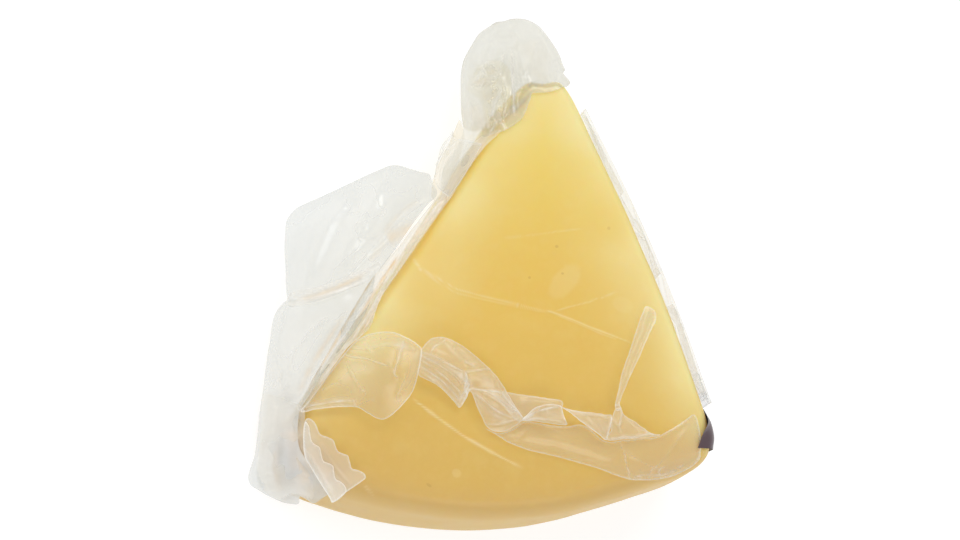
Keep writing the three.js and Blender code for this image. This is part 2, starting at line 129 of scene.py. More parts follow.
# Outlines, heights and fold lines of the film, in millimetres: plan positions are taken on the level of the upper face,
# along the direction that the piece is seen from.
# The fourth number of a fold line is its painted whiteness, partly crease whitening and partly painted highlight; tones
# are wide bands of added haze, partly overlapping layers and partly painted light and shade; warm strokes are painted
# cheese-coloured light on the film.
PATCH = {
    'left_flap': dict(
        outline=[(-19.2, 13.1), (-20.8, 16.3), (-21.7, 18.3), (-24.4, 18.7), (-27.6, 19.2), (-29.8, 19.6), (-31.4, 19.6), (-33.2, 19.1), (-35.4, 17.9), (-39.4, 15.6), (-45.6, 11.8), (-51.8, 8.1), (-56.0, 5.7), (-57.9, 4.1), (-59.1, 2.3), (-59.6, 0.2), (-59.4, -5.3), (-58.7, -10.1), (-57.0, -19.8), (-52.9, -18.8), (-48.6, -17.4), (-44.4, -15.6), (-40.1, -13.7), (-36.4, -11.6), (-34.0, -10.0), (-31.6, -6.5), (-29.1, -2.3), (-25.3, 4.3), (-22.0, 9.5)],
        z=[(-19.2, 13.1, 36.4), (-21.7, 18.3, 31), (-31.4, 19.6, 26), (-39.4, 15.6, 22), (-45.6, 11.8, 19), (-56.0, 5.7, 12), (-59.6, 0.2, 7.5), (-59.4, -5.3, 7), (-58.2, -12.2, 8), (-57.0, -19.8, 11), (-51.9, -18.4, 19), (-48.6, -17.4, 23), (-40.1, -13.7, 32.5), (-34.0, -10.0, 36.3), (-29.1, -2.3, 36.4), (-25.3, 4.3, 36.4), (-22.0, 9.5, 36.4), (-45.6, -2.6, 23.5), (-50.1, -9.8, 19.5), (-37.5, -5.5, 31), (-32.9, 1.7, 33), (-31.2, 12.5, 30), (-41.1, 5.8, 25), (-52.4, 0.4, 15.5)],
        lines=[([(-33.5, 14.3), (-37.1, 7.7), (-41.5, -2.1), (-46.1, -14.2)], 3.4, 1.0, 0.03), ([(-38.0, 12.1), (-43.1, 4.3), (-47.4, -5.5), (-51.1, -16.4)], 2.8, -0.9, 0.03), ([(-43.5, 8.2), (-48.5, 0.1), (-51.7, -9.2), (-53.6, -17.3)], 2.4, 0.8, 0.03), ([(-30.4, 14.7), (-34.0, 8.1), (-38.9, -1.7), (-43.5, -11.8)], 2.6, -0.7, 0.03), ([(-48.9, 4.8), (-52.9, -2.3), (-55.4, -11.8)], 2.0, 0.5, 0.03), ([(-21.1, 11.5), (-26.1, 7.4), (-30.9, 2.2), (-35.1, -2.8), (-40.3, -9.3), (-45.0, -14.6)], 0.8, 0.8, 0.12), ([(-34.5, 7.3), (-35.7, 11.9), (-34.6, 15.2)], 1.2, 0.4, 0.05), ([(-40.2, -1.4), (-35.9, -0.3), (-32.5, 2.8)], 1.2, 0.6, 0.1)],
        tones=[([(-58.6, 2.4), (-51.7, 7.3), (-41.8, 12.6), (-31.2, 18.1), (-22.1, 16.9)], 3.2, 0.1), ([(-41.9, 8.4), (-40.5, 4.9), (-37.9, 4.7)], 1.8, 0.12), ([(-35.7, 15.0), (-33.6, 9.5), (-30.1, 11.1)], 2.6, 0.1), ([(-56.2, -0.2), (-56.9, -9.9), (-56.1, -17.6)], 2.0, 0.06), ([(-31.7, 6.1), (-35.5, 0.8), (-40.9, -7.8), (-47.0, -15.4)], 2.4, 0.14), ([(-48.5, 0.9), (-51.4, -7.4), (-52.7, -15.4)], 1.0, 0.06), ([(-43.2, 5.0), (-46.1, -2.7), (-48.9, -12.2)], 1.0, 0.06), ([(-24.7, 13.4), (-28.3, 8.9), (-32.6, 3.9)], 2.2, 0.1), ([(-40.3, 1.8), (-36.5, 0.7), (-32.4, 2.3)], 1.8, 0.16)],
        warm=[([(-24.5, 4.4), (-27.2, 2.2), (-29.7, 0.6), (-32.2, -0.8)], 2.2, 0.55), ([(-23.7, 10.9), (-27.2, 8.3), (-30.5, 4.7), (-33.3, 0.6)], 0.8, 0.25), ([(-32.2, -0.8), (-34.0, -3.7), (-36.3, -7.2)], 1.0, 0.3), ([(-44.5, -14.5), (-40.5, -12.4), (-36.6, -9.8)], 0.6, 0.3)],
    ),
    'lower_flap': dict(
        outline=[(-34.5, -10.3), (-36.4, -11.9), (-40.1, -14.2), (-44.3, -16.3), (-48.6, -17.9), (-52.9, -19.0), (-57.0, -19.6), (-58.7, -21.1), (-59.8, -22.8), (-60.4, -24.7), (-60.7, -26.8), (-60.8, -30.7), (-61.1, -33.8), (-61.3, -39.5), (-61.5, -44.9), (-61.8, -50.1), (-61.8, -55.7), (-62.0, -60.9), (-62.6, -63.5), (-63.1, -65.8), (-63.1, -67.3), (-62.3, -68.8), (-60.9, -69.6), (-57.7, -71.0), (-53.8, -72.3), (-51.5, -72.6), (-49.2, -72.4), (-49.2, -70.5), (-47.5, -71.1), (-45.4, -72.0), (-43.5, -70.6), (-41.8, -69.1), (-42.9, -68.0), (-45.5, -65.0), (-48.4, -61.5), (-50.7, -58.5), (-51.6, -55.2), (-51.9, -51.4), (-51.5, -48.0), (-49.1, -43.6), (-46.2, -38.1), (-43.3, -33.3), (-40.8, -29.1), (-37.9, -24.6), (-35.5, -19.1), (-34.6, -14.3)],
        z=[(-34.5, -10.3, 36.4), (-40.1, -14.2, 33.5), (-48.6, -17.9, 26), (-52.9, -19.0, 19), (-57.0, -19.6, 11), (-59.8, -22.8, 6.5), (-60.7, -26.8, 5), (-61.1, -33.8, 4.5), (-61.3, -39.5, 4.5), (-61.8, -50.1, 4.5), (-62.0, -60.9, 4.5), (-63.0, -66.3, 5), (-61.5, -69.4, 7), (-57.7, -71.0, 9), (-53.8, -72.3, 13), (-49.2, -72.0, 22), (-49.1, -70.5, 24), (-45.4, -71.8, 33), (-41.8, -69.1, 38.2), (-45.5, -65.0, 37.8), (-50.7, -58.5, 37.4), (-51.9, -51.4, 37.2), (-51.5, -48.0, 37.2), (-46.2, -38.1, 37), (-40.8, -29.1, 37), (-35.5, -19.1, 36.8), (-53.5, -29.7, 22.5), (-48.7, -25.2, 28), (-42.5, -21.8, 34), (-56.6, -40.5, 18), (-55.1, -53.1, 26), (-58.7, -56.1, 15), (-53.2, -59.3, 33), (-52.6, -65.6, 29), (-58.3, -65.7, 14), (-47.2, -68.8, 33), (-52.2, -37.8, 30), (-57.0, -32.8, 14)],
        lines=[([(-56.4, -20.3), (-58.2, -23.6), (-58.7, -29.1), (-58.8, -35.6), (-57.7, -41.9), (-55.5, -46.7), (-53.4, -52.4)], 1.4, 0.6, 0.06), ([(-46.3, -23.1), (-50.6, -27.3), (-53.3, -31.3), (-55.2, -35.6), (-55.8, -39.8)], 1.0, 0.8, 0.14), ([(-59.8, -28.0), (-60.1, -35.7), (-59.8, -44.7), (-60.2, -53.7)], 1.0, 0.5, 0.08), ([(-54.1, -22.6), (-49.2, -20.4), (-44.2, -17.6), (-39.3, -14.4)], 1.6, 0.6, 0.05), ([(-55.6, -50.6), (-56.4, -58.4), (-56.3, -64.8), (-55.0, -70.4)], 1.0, 0.7, 0.1), ([(-58.4, -53.0), (-59.4, -59.3), (-59.9, -64.9), (-58.0, -68.8)], 1.2, -0.5, 0.06), ([(-57.0, -38.4), (-57.3, -41.1), (-56.0, -43.2), (-54.9, -41.3)], 0.6, 0.6, 0.4), ([(-60.7, -56.4), (-59.0, -57.7), (-57.0, -57.4)], 0.9, 0.5, 0.1), ([(-61.3, -68.7), (-57.5, -68.7), (-54.2, -67.6), (-51.2, -64.9)], 1.4, 0.7, 0.08)],
        tones=[([(-58.9, -21.6), (-60.1, -28.0), (-60.4, -38.4), (-60.7, -51.2), (-61.5, -64.1), (-59.5, -68.9)], 2.0, 0.12), ([(-54.0, -24.1), (-48.8, -24.5), (-46.3, -23.1)], 3.0, 0.06), ([(-54.5, -45.9), (-54.3, -53.0), (-52.6, -60.5), (-49.9, -67.8)], 3.6, 0.55), ([(-59.1, -45.9), (-58.7, -56.1), (-58.2, -66.3)], 3.0, 0.22), ([(-55.6, -55.7), (-54.4, -63.2), (-52.2, -70.1)], 4.2, 0.5), ([(-50.1, -60.2), (-47.0, -65.4), (-44.1, -69.1)], 3.0, 0.45), ([(-43.5, -25.8), (-47.5, -32.1), (-51.1, -38.7), (-53.5, -45.2)], 2.2, 0.35), ([(-56.4, -36.6), (-55.8, -42.9), (-55.8, -48.1)], 2.6, 0.3), ([(-59.1, -67.9), (-53.4, -70.8), (-48.3, -70.9)], 2.6, 0.25)],
        warm=[([(-50.3, -62.8), (-48.4, -66.6), (-45.6, -69.8)], 2.0, 0.22), ([(-54.6, -50.5), (-52.8, -58.0), (-50.6, -65.3)], 2.4, 0.22), ([(-56.9, -59.0), (-56.0, -65.5), (-54.7, -70.4)], 0.7, 0.35), ([(-41.3, -20.9), (-45.7, -29.3), (-49.7, -37.0), (-52.3, -44.5)], 0.8, 0.4), ([(-51.1, -55.2), (-49.1, -59.5), (-45.6, -64.2)], 1.6, 0.35)],
    ),
    'fold_rope': dict(
        outline=[(-57.5, -19.9), (-56.9, -18.0), (-54.7, -16.9), (-50.9, -15.9), (-47.1, -14.4), (-43.4, -12.6), (-39.7, -10.5), (-36.2, -8.7), (-34.0, -6.9), (-33.3, -8.3), (-34.4, -10.6), (-37.3, -13.1), (-41.3, -15.2), (-45.5, -17.5), (-49.8, -19.4), (-53.8, -20.7), (-56.3, -21.5)],
        z=[(-57.5, -19.9, 11.5), (-54.7, -16.9, 19), (-47.1, -14.4, 28), (-39.7, -10.5, 34.5), (-34.0, -6.9, 37.4), (-34.4, -10.6, 37.2), (-41.3, -15.2, 33), (-49.8, -19.4, 26), (-56.3, -21.5, 12), (-45.7, -15.7, 30.5), (-53.2, -18.8, 22), (-38.3, -11.6, 36)],
        lines=[([(-57.0, -19.8), (-50.7, -17.4), (-44.5, -14.5), (-39.0, -11.5), (-33.6, -7.9)], 1.3, 1.0, 0.25), ([(-56.3, -21.0), (-49.8, -18.6), (-43.6, -15.7), (-37.9, -12.6)], 0.9, -0.6, 0.12), ([(-55.1, -17.5), (-48.3, -15.6), (-42.1, -12.4), (-36.6, -9.3)], 0.8, 0.5, 0.08)],
        tones=[([(-56.4, -20.3), (-49.4, -17.5), (-42.0, -13.7), (-35.6, -9.2)], 1.4, 0.14)],
        warm=[([(-54.4, -19.5), (-48.4, -17.1), (-42.5, -14.0), (-37.0, -10.7)], 0.7, 0.4)],
    ),
    'edge_gather': dict(
        outline=[(-18.5, 14.3), (-17.5, 12.5), (-19.4, 10.1), (-22.2, 5.3), (-24.9, 0.2), (-27.4, -4.7), (-29.8, -9.2), (-32.3, -13.7), (-34.1, -17.6), (-35.0, -21.1), (-36.0, -24.9), (-38.6, -28.1), (-41.0, -30.5), (-43.9, -35.2), (-46.8, -40.5), (-49.4, -45.0), (-51.7, -48.6), (-52.8, -47.9), (-51.5, -45.0), (-49.4, -39.8), (-46.8, -34.1), (-44.3, -28.0), (-41.7, -22.5), (-39.1, -16.9), (-36.4, -11.6), (-33.2, -6.7), (-30.4, -2.7), (-27.7, 1.9), (-24.4, 7.1), (-21.7, 11.4)],
        z=[(-18.5, 14.3, 35), (-17.5, 12.5, 36.4), (-22.2, 5.3, 36.6), (-27.4, -4.7, 36.7), (-32.3, -13.7, 36.8), (-35.0, -21.1, 37), (-38.6, -28.1, 37.4), (-43.9, -35.2, 37.4), (-51.7, -48.6, 37.4), (-52.8, -47.9, 36), (-49.4, -39.8, 34.5), (-44.3, -28.0, 34), (-39.1, -16.9, 34.5), (-33.2, -6.7, 35), (-27.7, 1.9, 35), (-21.7, 11.4, 34.5)],
        lines=[([(-18.6, 13.2), (-22.4, 7.6), (-26.3, 0.8), (-30.1, -6.3), (-33.6, -13.6), (-36.2, -20.2), (-39.2, -26.6), (-42.8, -32.5), (-47.1, -40.0), (-51.1, -47.0)], 0.8, 1.2, 0.38), ([(-21.5, 10.1), (-26.2, 2.6), (-30.7, -5.4), (-34.7, -13.2), (-38.7, -21.1), (-42.7, -28.9), (-47.1, -37.2), (-51.0, -44.4)], 0.7, 1.0, 0.25), ([(-28.7, -4.6), (-31.8, -10.2), (-34.4, -16.3), (-37.0, -22.9), (-40.1, -28.5)], 0.6, 0.8, 0.35), ([(-34.0, -15.8), (-35.4, -20.1), (-36.6, -23.9), (-38.6, -27.3)], 0.45, 0.8, 0.55), ([(-32.7, -12.4), (-33.9, -16.3), (-34.6, -20.0), (-35.6, -23.8)], 0.4, 0.6, 0.5), ([(-35.2, -24.8), (-37.6, -26.9), (-40.0, -29.6), (-42.0, -32.9)], 0.6, 0.7, 0.4), ([(-39.1, -22.2), (-41.7, -27.7), (-44.3, -33.2), (-47.0, -38.2)], 0.5, -0.5, 0.2)],
        tones=[([(-20.5, 10.3), (-25.1, 2.8), (-29.7, -5.2), (-33.7, -12.6)], 1.4, 0.2), ([(-35.9, -17.1), (-39.4, -24.3), (-43.5, -31.0), (-47.9, -39.4)], 1.6, 0.3)],
        warm=[([(-30.2, -5.0), (-32.9, -10.1), (-35.6, -15.4), (-38.2, -21.0), (-40.3, -26.2)], 0.42, 0.75), ([(-35.1, -9.1), (-38.6, -16.4), (-41.6, -23.0), (-44.2, -29.1), (-48.1, -37.3), (-51.9, -46.0)], 0.45, 0.8), ([(-33.0, -14.6), (-35.1, -20.1), (-37.3, -25.0)], 0.4, 0.45), ([(-19.5, 11.4), (-23.7, 5.1), (-27.8, -2.4)], 0.45, 0.45), ([(-38.6, -27.8), (-41.9, -31.9), (-45.0, -36.9)], 0.5, 0.4)],
    ),
    'tongue': dict(
        outline=[(-52.5, -47.9), (-50.5, -44.6), (-47.8, -40.1), (-45.6, -36.2), (-43.4, -32.6), (-41.1, -29.2), (-39.2, -27.1), (-37.5, -25.9), (-34.5, -24.6), (-31.1, -24.0), (-28.5, -24.4), (-26.1, -25.2), (-23.9, -26.2), (-22.2, -27.5), (-22.2, -30.4), (-22.5, -33.3), (-22.8, -35.9), (-23.5, -38.9), (-24.9, -41.4), (-26.7, -43.9), (-28.6, -46.0), (-30.4, -47.2), (-32.4, -47.2), (-34.3, -46.4), (-36.5, -45.4), (-38.3, -44.9), (-41.7, -45.3), (-45.2, -46.0), (-48.7, -46.9)],
        z=[(-52.5, -47.9, 37.4), (-47.8, -40.1, 37.6), (-43.4, -32.6, 38), (-41.1, -29.2, 38.4), (-37.5, -25.9, 39.2), (-31.1, -24.0, 40.4), (-26.1, -25.2, 41.2), (-22.2, -27.5, 41.4), (-22.5, -33.3, 42), (-23.5, -38.9, 41.6), (-26.7, -43.9, 40), (-30.4, -47.2, 38.6), (-34.3, -46.4, 38), (-38.3, -44.9, 37.8), (-45.2, -46.0, 37.6), (-33.7, -33.7, 42.6), (-39.4, -36.2, 40.2), (-28.2, -36.9, 42.8), (-34.2, -41.5, 40.4), (-43.3, -42.1, 38.2), (-28.8, -29.2, 42.2)],
        lines=[([(-43.0, -31.2), (-40.3, -31.9), (-36.7, -32.0), (-32.9, -32.8), (-29.2, -33.6)], 0.45, 0.45, 0.32), ([(-28.1, -28.5), (-28.2, -30.9), (-28.7, -33.3), (-28.8, -35.4), (-27.4, -36.3)], 0.6, 0.6, 0.45), ([(-41.7, -33.9), (-39.8, -37.0), (-37.8, -39.6), (-36.6, -41.0)], 0.5, 0.4, 0.2), ([(-52.1, -46.8), (-48.9, -45.7), (-44.9, -44.4), (-41.3, -43.7), (-38.5, -43.6)], 0.5, 0.6, 0.55), ([(-38.8, -43.1), (-38.4, -44.6)], 0.4, 0.4, 0.45), ([(-38.3, -44.9), (-36.4, -43.6), (-33.7, -42.2)], 0.5, 0.3, 0.12), ([(-51.8, -47.6), (-46.8, -45.8), (-42.2, -44.8), (-38.6, -44.5)], 0.5, -0.4, 0.3), ([(-41.8, -29.3), (-37.4, -29.2), (-32.9, -27.9), (-28.2, -27.5), (-24.0, -28.0)], 1.0, 0.5, 0.14), ([(-37.6, -27.2), (-36.4, -29.1), (-34.6, -31.5)], 0.5, 0.3, 0.15), ([(-27.3, -25.8), (-27.6, -28.0), (-28.3, -29.6)], 0.7, 0.4, 0.3), ([(-25.8, -34.5), (-26.5, -38.0), (-27.7, -41.5)], 0.8, 0.3, 0.1), ([(-47.7, -41.9), (-46.0, -40.2), (-43.0, -38.7)], 0.6, 0.3, 0.15)],
        tones=[([(-40.6, -28.6), (-36.0, -27.5), (-30.4, -26.8), (-24.5, -28.1)], 2.4, 0.16), ([(-23.9, -29.0), (-24.4, -35.3), (-27.0, -41.4)], 1.4, 0.16), ([(-50.4, -46.1), (-44.4, -44.1), (-39.2, -43.9)], 1.2, 0.25), ([(-42.8, -32.5), (-40.7, -33.8), (-37.5, -33.9)], 1.6, 0.14), ([(-27.7, -27.5), (-27.9, -30.6)], 1.4, 0.3)],
        warm=[([(-43.0, -36.7), (-39.0, -40.3), (-35.7, -42.5)], 3.0, 0.16)],
    ),
    'band_lobe': dict(
        outline=[(-22.4, -28.1), (-21.7, -26.7), (-20.8, -25.3), (-19.6, -24.3), (-18.1, -23.7), (-16.2, -23.6), (-13.6, -24.3), (-10.0, -26.0), (-6.7, -28.1), (-4.4, -29.7), (-2.4, -31.3), (-0.7, -32.9), (0.8, -34.8), (2.2, -36.7), (3.7, -38.6), (5.2, -40.5), (6.7, -42.4), (5.4, -43.3), (3.2, -41.8), (0.9, -39.5), (-1.3, -37.9), (-4.1, -36.7), (-7.5, -36.3), (-8.5, -37.5), (-9.1, -39.1), (-10.5, -41.6), (-12.2, -40.3), (-14.5, -38.3), (-16.4, -36.9), (-19.1, -35.7), (-22.4, -34.3), (-22.4, -30.9)],
        z=[(-22.4, -28.1, 40), (-19.6, -24.3, 39.6), (-13.6, -24.3, 40), (-6.7, -28.1, 40), (-0.7, -32.9, 39.4), (3.7, -38.6, 38.6), (6.7, -42.4, 37.8), (0.9, -39.5, 38), (-7.5, -36.3, 38.2), (-10.5, -41.6, 37), (-16.4, -36.9, 37.4), (-22.4, -34.3, 38), (-14.3, -31.2, 41), (-6.2, -33.6, 40), (-18.5, -27.8, 41.4), (-11.4, -27.5, 41), (-9.8, -37.2, 38.6)],
        lines=[([(-22.4, -28.3), (-19.2, -29.0), (-15.4, -30.3), (-12.2, -31.5), (-10.0, -32.2)], 0.42, 0.55, 0.45), ([(-22.3, -29.1), (-18.5, -30.7), (-14.7, -32.3), (-11.9, -34.0), (-9.9, -36.1)], 0.42, -0.4, 0.35), ([(-22.5, -30.2), (-18.9, -32.1), (-15.3, -34.2), (-12.0, -36.6), (-10.0, -38.7)], 0.42, 0.45, 0.38), ([(-22.4, -31.7), (-18.8, -33.6), (-15.5, -35.5), (-12.4, -38.0), (-10.3, -40.3)], 0.42, -0.4, 0.3), ([(-22.5, -33.3), (-18.9, -34.9), (-15.6, -37.1), (-12.5, -39.6), (-10.5, -41.4)], 0.42, 0.45, 0.38), ([(-10.0, -32.0), (-9.3, -34.0), (-9.9, -36.4), (-9.0, -38.1), (-10.1, -40.6)], 0.7, 0.9, 0.6), ([(-10.6, -34.1), (-8.7, -35.2), (-9.6, -37.1), (-10.7, -39.3)], 0.5, -0.7, 0.5), ([(-10.0, -32.2), (-7.4, -31.6), (-4.8, -30.8), (-3.0, -30.3)], 0.42, 0.5, 0.42), ([(-10.5, -29.4), (-8.9, -30.0), (-7.5, -30.3)], 0.4, 0.4, 0.35), ([(-15.9, -24.1), (-17.4, -25.6), (-18.9, -26.6), (-19.8, -28.5)], 0.45, 0.4, 0.3), ([(-8.1, -36.4), (-4.4, -36.2), (-1.2, -36.3), (0.6, -36.4)], 0.42, 0.5, 0.45), ([(-3.3, -36.6), (-0.0, -38.3), (2.8, -39.7), (5.5, -41.2)], 0.42, 0.45, 0.35), ([(-2.7, -31.6), (-0.8, -34.7), (1.2, -37.3), (3.5, -39.6)], 0.7, 0.4, 0.12), ([(-13.5, -25.1), (-9.3, -28.2), (-5.4, -30.9)], 1.4, 0.6, 0.06), ([(-17.5, -24.6), (-13.0, -27.7), (-9.1, -30.8)], 1.2, -0.5, 0.06)],
        tones=[([(-22.1, -29.1), (-16.9, -30.8), (-12.0, -32.7), (-9.8, -34.5)], 0.9, 0.2), ([(-22.1, -31.9), (-17.7, -34.2), (-13.2, -37.1), (-10.6, -39.9)], 0.9, 0.18), ([(-10.7, -33.1), (-8.7, -35.4), (-10.0, -38.7)], 1.0, 0.35), ([(-19.5, -25.4), (-15.3, -25.9), (-10.3, -28.4), (-5.8, -32.0), (-1.2, -36.1)], 1.1, 0.1), ([(-5.7, -33.0), (-1.2, -36.6), (3.9, -40.6)], 1.4, 0.12)],
        warm=[],
    ),
    'band_second': dict(
        outline=[(-8.6, -36.5), (-7.7, -37.4), (-6.7, -39.4), (-5.5, -41.8), (-4.3, -43.7), (-3.3, -45.4), (-2.2, -46.3), (-0.9, -46.7), (0.7, -46.6), (2.2, -46.3), (3.5, -45.6), (4.8, -44.7), (6.0, -43.5), (7.0, -42.6), (5.2, -40.7), (3.2, -38.9), (1.2, -37.1), (-0.2, -36.2), (-3.3, -36.1)],
        z=[(-8.6, -36.5, 38.4), (-5.5, -41.8, 38), (-3.3, -45.4, 37.4), (0.7, -46.5, 37.2), (4.8, -44.7, 37.4), (7.0, -42.6, 37.8), (1.2, -37.1, 38.4), (-3.3, -36.1, 38.8), (-0.8, -41.2, 39.4)],
        lines=[([(-7.5, -37.1), (-4.7, -38.8), (-1.6, -40.8), (1.9, -42.2), (5.4, -42.8)], 0.45, 0.5, 0.35), ([(-6.3, -38.8), (-3.5, -41.0), (-0.2, -42.7), (3.6, -43.3)], 0.9, -0.4, 0.1), ([(-3.1, -45.1), (0.0, -44.8), (3.1, -43.6), (5.9, -42.5)], 0.5, 0.4, 0.4), ([(-4.9, -36.8), (-1.6, -38.2), (1.7, -39.9), (5.0, -41.5)], 0.5, 0.4, 0.3), ([(2.2, -46.0), (2.4, -47.6), (1.9, -48.9)], 0.45, 0.3, 0.4)],
        tones=[([(-6.3, -38.3), (-2.4, -40.9), (2.0, -43.0)], 1.6, 0.14)],
        warm=[],
    ),
    'band_third': dict(
        outline=[(0.3, -36.1), (2.4, -36.0), (7.2, -36.1), (12.0, -36.2), (16.5, -36.3), (16.9, -38.0), (15.3, -37.9), (12.7, -38.1), (10.4, -39.1), (8.6, -40.6), (7.0, -42.6), (5.2, -41.0), (3.2, -39.2)],
        z=[(0.3, -36.1, 37.6), (7.2, -36.1, 37.6), (16.5, -36.2, 37.8), (16.9, -38.0, 37.8), (12.7, -38.1, 38.2), (8.6, -40.6, 38), (7.0, -42.6, 37.8), (8.7, -37.7, 37.9)],
        lines=[([(4.8, -38.4), (7.9, -37.5), (12.1, -37.3), (15.8, -37.3)], 0.9, 0.3, 0.08)],
        tones=[],
        warm=[],
    ),
    'band_loop': dict(
        outline=[(6.5, -42.9), (7.9, -40.9), (9.6, -39.1), (11.4, -38.3), (13.4, -37.8), (15.3, -37.7), (16.6, -38.0), (17.3, -39.8), (18.3, -41.7), (18.6, -42.7), (15.7, -42.9), (12.5, -42.8), (9.9, -42.8)],
        z=[(6.5, -42.9, 37.8), (11.4, -38.3, 39.4), (16.6, -38.0, 39.4), (18.3, -42.0, 38.2), (12.5, -42.8, 37.6), (12.8, -40.0, 40.2)],
        lines=[([(6.7, -42.9), (9.2, -40.8), (11.7, -39.4), (14.3, -38.6), (16.4, -38.3)], 0.5, 0.5, 0.5), ([(7.0, -43.1), (9.8, -42.0), (13.0, -41.9), (16.2, -42.0), (18.3, -42.5)], 0.5, 0.5, 0.45), ([(6.7, -42.9), (8.7, -41.6), (10.4, -40.1), (10.8, -38.5)], 0.45, -0.4, 0.4), ([(16.2, -36.0), (16.6, -38.0), (17.3, -40.0), (18.3, -42.0)], 0.5, 0.6, 0.5), ([(6.2, -42.7), (7.7, -42.0), (9.2, -40.8)], 0.8, 0.5, 0.5)],
        tones=[([(7.7, -42.2), (11.6, -40.7), (16.1, -40.7)], 1.6, 0.16)],
        warm=[],
    ),
    'strip_triangle': dict(
        outline=[(16.4, -38.0), (18.5, -38.4), (20.7, -38.6), (23.3, -38.6), (26.0, -38.5), (28.7, -38.6), (30.5, -38.6), (30.5, -41.5), (30.1, -43.7), (29.6, -45.4), (27.5, -44.2), (24.7, -42.7), (21.4, -40.8), (18.6, -39.1)],
        z=[(16.4, -38.0, 38.8), (20.7, -38.6, 38.6), (26.0, -38.5, 38.4), (30.5, -38.6, 38.6), (29.4, -45.3, 37.6), (24.7, -42.7, 38), (21.4, -40.8, 38.2), (27.0, -40.9, 39)],
        lines=[([(16.9, -38.2), (20.2, -39.9), (23.6, -41.8), (26.9, -43.8), (29.4, -45.0)], 0.5, 0.5, 0.5), ([(30.5, -38.9), (30.2, -41.8), (29.7, -44.8)], 0.5, 0.6, 0.55), ([(18.5, -38.6), (22.8, -39.1), (27.1, -39.1), (30.3, -39.7)], 0.45, 0.4, 0.3), ([(23.4, -39.0), (26.2, -41.5), (29.1, -44.3)], 0.8, -0.3, 0.1)],
        tones=[([(19.4, -39.0), (24.8, -40.6), (28.9, -42.2)], 1.6, 0.12)],
        warm=[],
    ),
    'strip_tail': dict(
        outline=[(29.4, -45.3), (30.6, -42.6), (30.6, -39.4), (31.4, -36.7), (32.8, -36.5), (34.0, -38.2), (36.7, -39.4), (39.5, -40.9), (41.7, -42.0), (44.2, -42.1), (42.1, -43.0), (38.4, -43.7), (33.9, -44.7)],
        z=[(29.4, -45.3, 37.6), (30.6, -39.4, 38.6), (31.9, -36.4, 39.2), (36.7, -39.4, 38.4), (41.7, -42.0, 37.8), (44.2, -42.1, 37.4), (38.4, -43.7, 37.4), (34.3, -42.1, 38.8)],
        lines=[([(29.9, -45.0), (33.9, -44.2), (37.6, -43.3), (41.0, -42.4), (43.1, -42.1)], 0.55, 0.7, 0.6), ([(31.4, -36.2), (33.1, -37.3), (33.0, -39.6), (32.6, -41.8)], 0.5, 0.6, 0.5), ([(33.4, -38.5), (36.8, -40.2), (39.8, -41.7), (42.3, -42.2)], 0.5, 0.4, 0.25), ([(30.6, -39.4), (32.0, -40.8), (33.5, -42.7)], 0.5, 0.3, 0.2)],
        tones=[],
        warm=[],
    ),
    'ribbon': dict(
        outline=[(37.6, -8.2), (38.9, -8.3), (40.4, -9.4), (40.7, -11.8), (39.6, -14.3), (38.3, -17.9), (37.0, -21.8), (35.4, -25.9), (33.9, -30.1), (32.8, -33.4), (32.4, -35.3), (33.0, -36.7), (31.7, -37.2), (31.1, -35.9), (31.5, -33.5), (32.0, -29.5), (32.7, -25.5), (33.8, -21.7), (34.8, -17.8), (35.8, -13.7), (36.9, -9.9)],
        z=[(37.6, -8.2, 36.9), (40.4, -10.2, 36.9), (38.3, -17.9, 38), (34.8, -17.8, 37.8), (32.7, -25.5, 38.6), (35.4, -25.9, 38.8), (32.1, -31.9, 39), (32.9, -35.2, 39.2), (31.4, -35.9, 39)],
        lines=[([(38.7, -8.9), (37.4, -13.3), (35.7, -18.8), (34.0, -24.3), (32.5, -30.2), (31.8, -35.1)], 1.0, 0.5, 0.08), ([(39.9, -10.3), (38.1, -15.8), (35.9, -21.9), (33.7, -28.5)], 0.5, -0.4, 0.1), ([(31.1, -35.7), (32.7, -35.5)], 0.6, 0.5, 0.5), ([(32.0, -36.9), (33.0, -36.2)], 0.5, 0.4, 0.45)],
        tones=[],
        warm=[],
    ),
    'lower_skin': dict(
        outline=[(-4.1, -46.0), (-2.5, -46.4), (-0.6, -46.9), (1.2, -46.8), (3.3, -45.9), (5.0, -44.7), (7.0, -43.1), (10.4, -43.0), (14.7, -43.2), (18.6, -43.0), (22.3, -42.0), (25.5, -43.2), (29.5, -45.6), (34.5, -44.7), (39.2, -43.6), (43.1, -42.8), (47.5, -39.9), (50.5, -37.5), (53.1, -35.6), (54.7, -39.1), (55.5, -43.4), (55.2, -46.3), (54.3, -48.5), (52.5, -50.3), (49.7, -52.1), (47.1, -53.3), (44.5, -54.2), (41.9, -54.7), (39.2, -54.9), (36.8, -55.0), (35.2, -54.8), (32.0, -54.1), (28.5, -53.2), (25.0, -52.6), (21.7, -52.1), (18.3, -51.6), (15.1, -51.2), (11.6, -50.9), (8.4, -50.5), (5.7, -49.8), (3.0, -49.1), (0.3, -47.8), (-1.9, -46.8)],
        z=[(-4.1, -46.0, 36.5), (7.0, -43.1, 36.6), (18.6, -43.0, 36.6), (29.5, -45.6, 36.6), (43.1, -42.8, 36.5), (50.5, -37.5, 36.3), (53.1, -35.6, 35.6), (55.5, -43.4, 33.5), (54.3, -48.5, 33.5), (49.7, -52.1, 33.6), (44.5, -54.2, 34), (39.2, -54.9, 34.6), (35.2, -54.8, 35), (28.5, -53.2, 36.2), (21.7, -52.0, 36.4), (11.6, -50.9, 36.5), (3.0, -49.1, 36.5), (16.0, -46.9, 36.6), (32.2, -50.2, 36.6), (42.8, -48.9, 36.5), (50.5, -44.0, 36.4)],
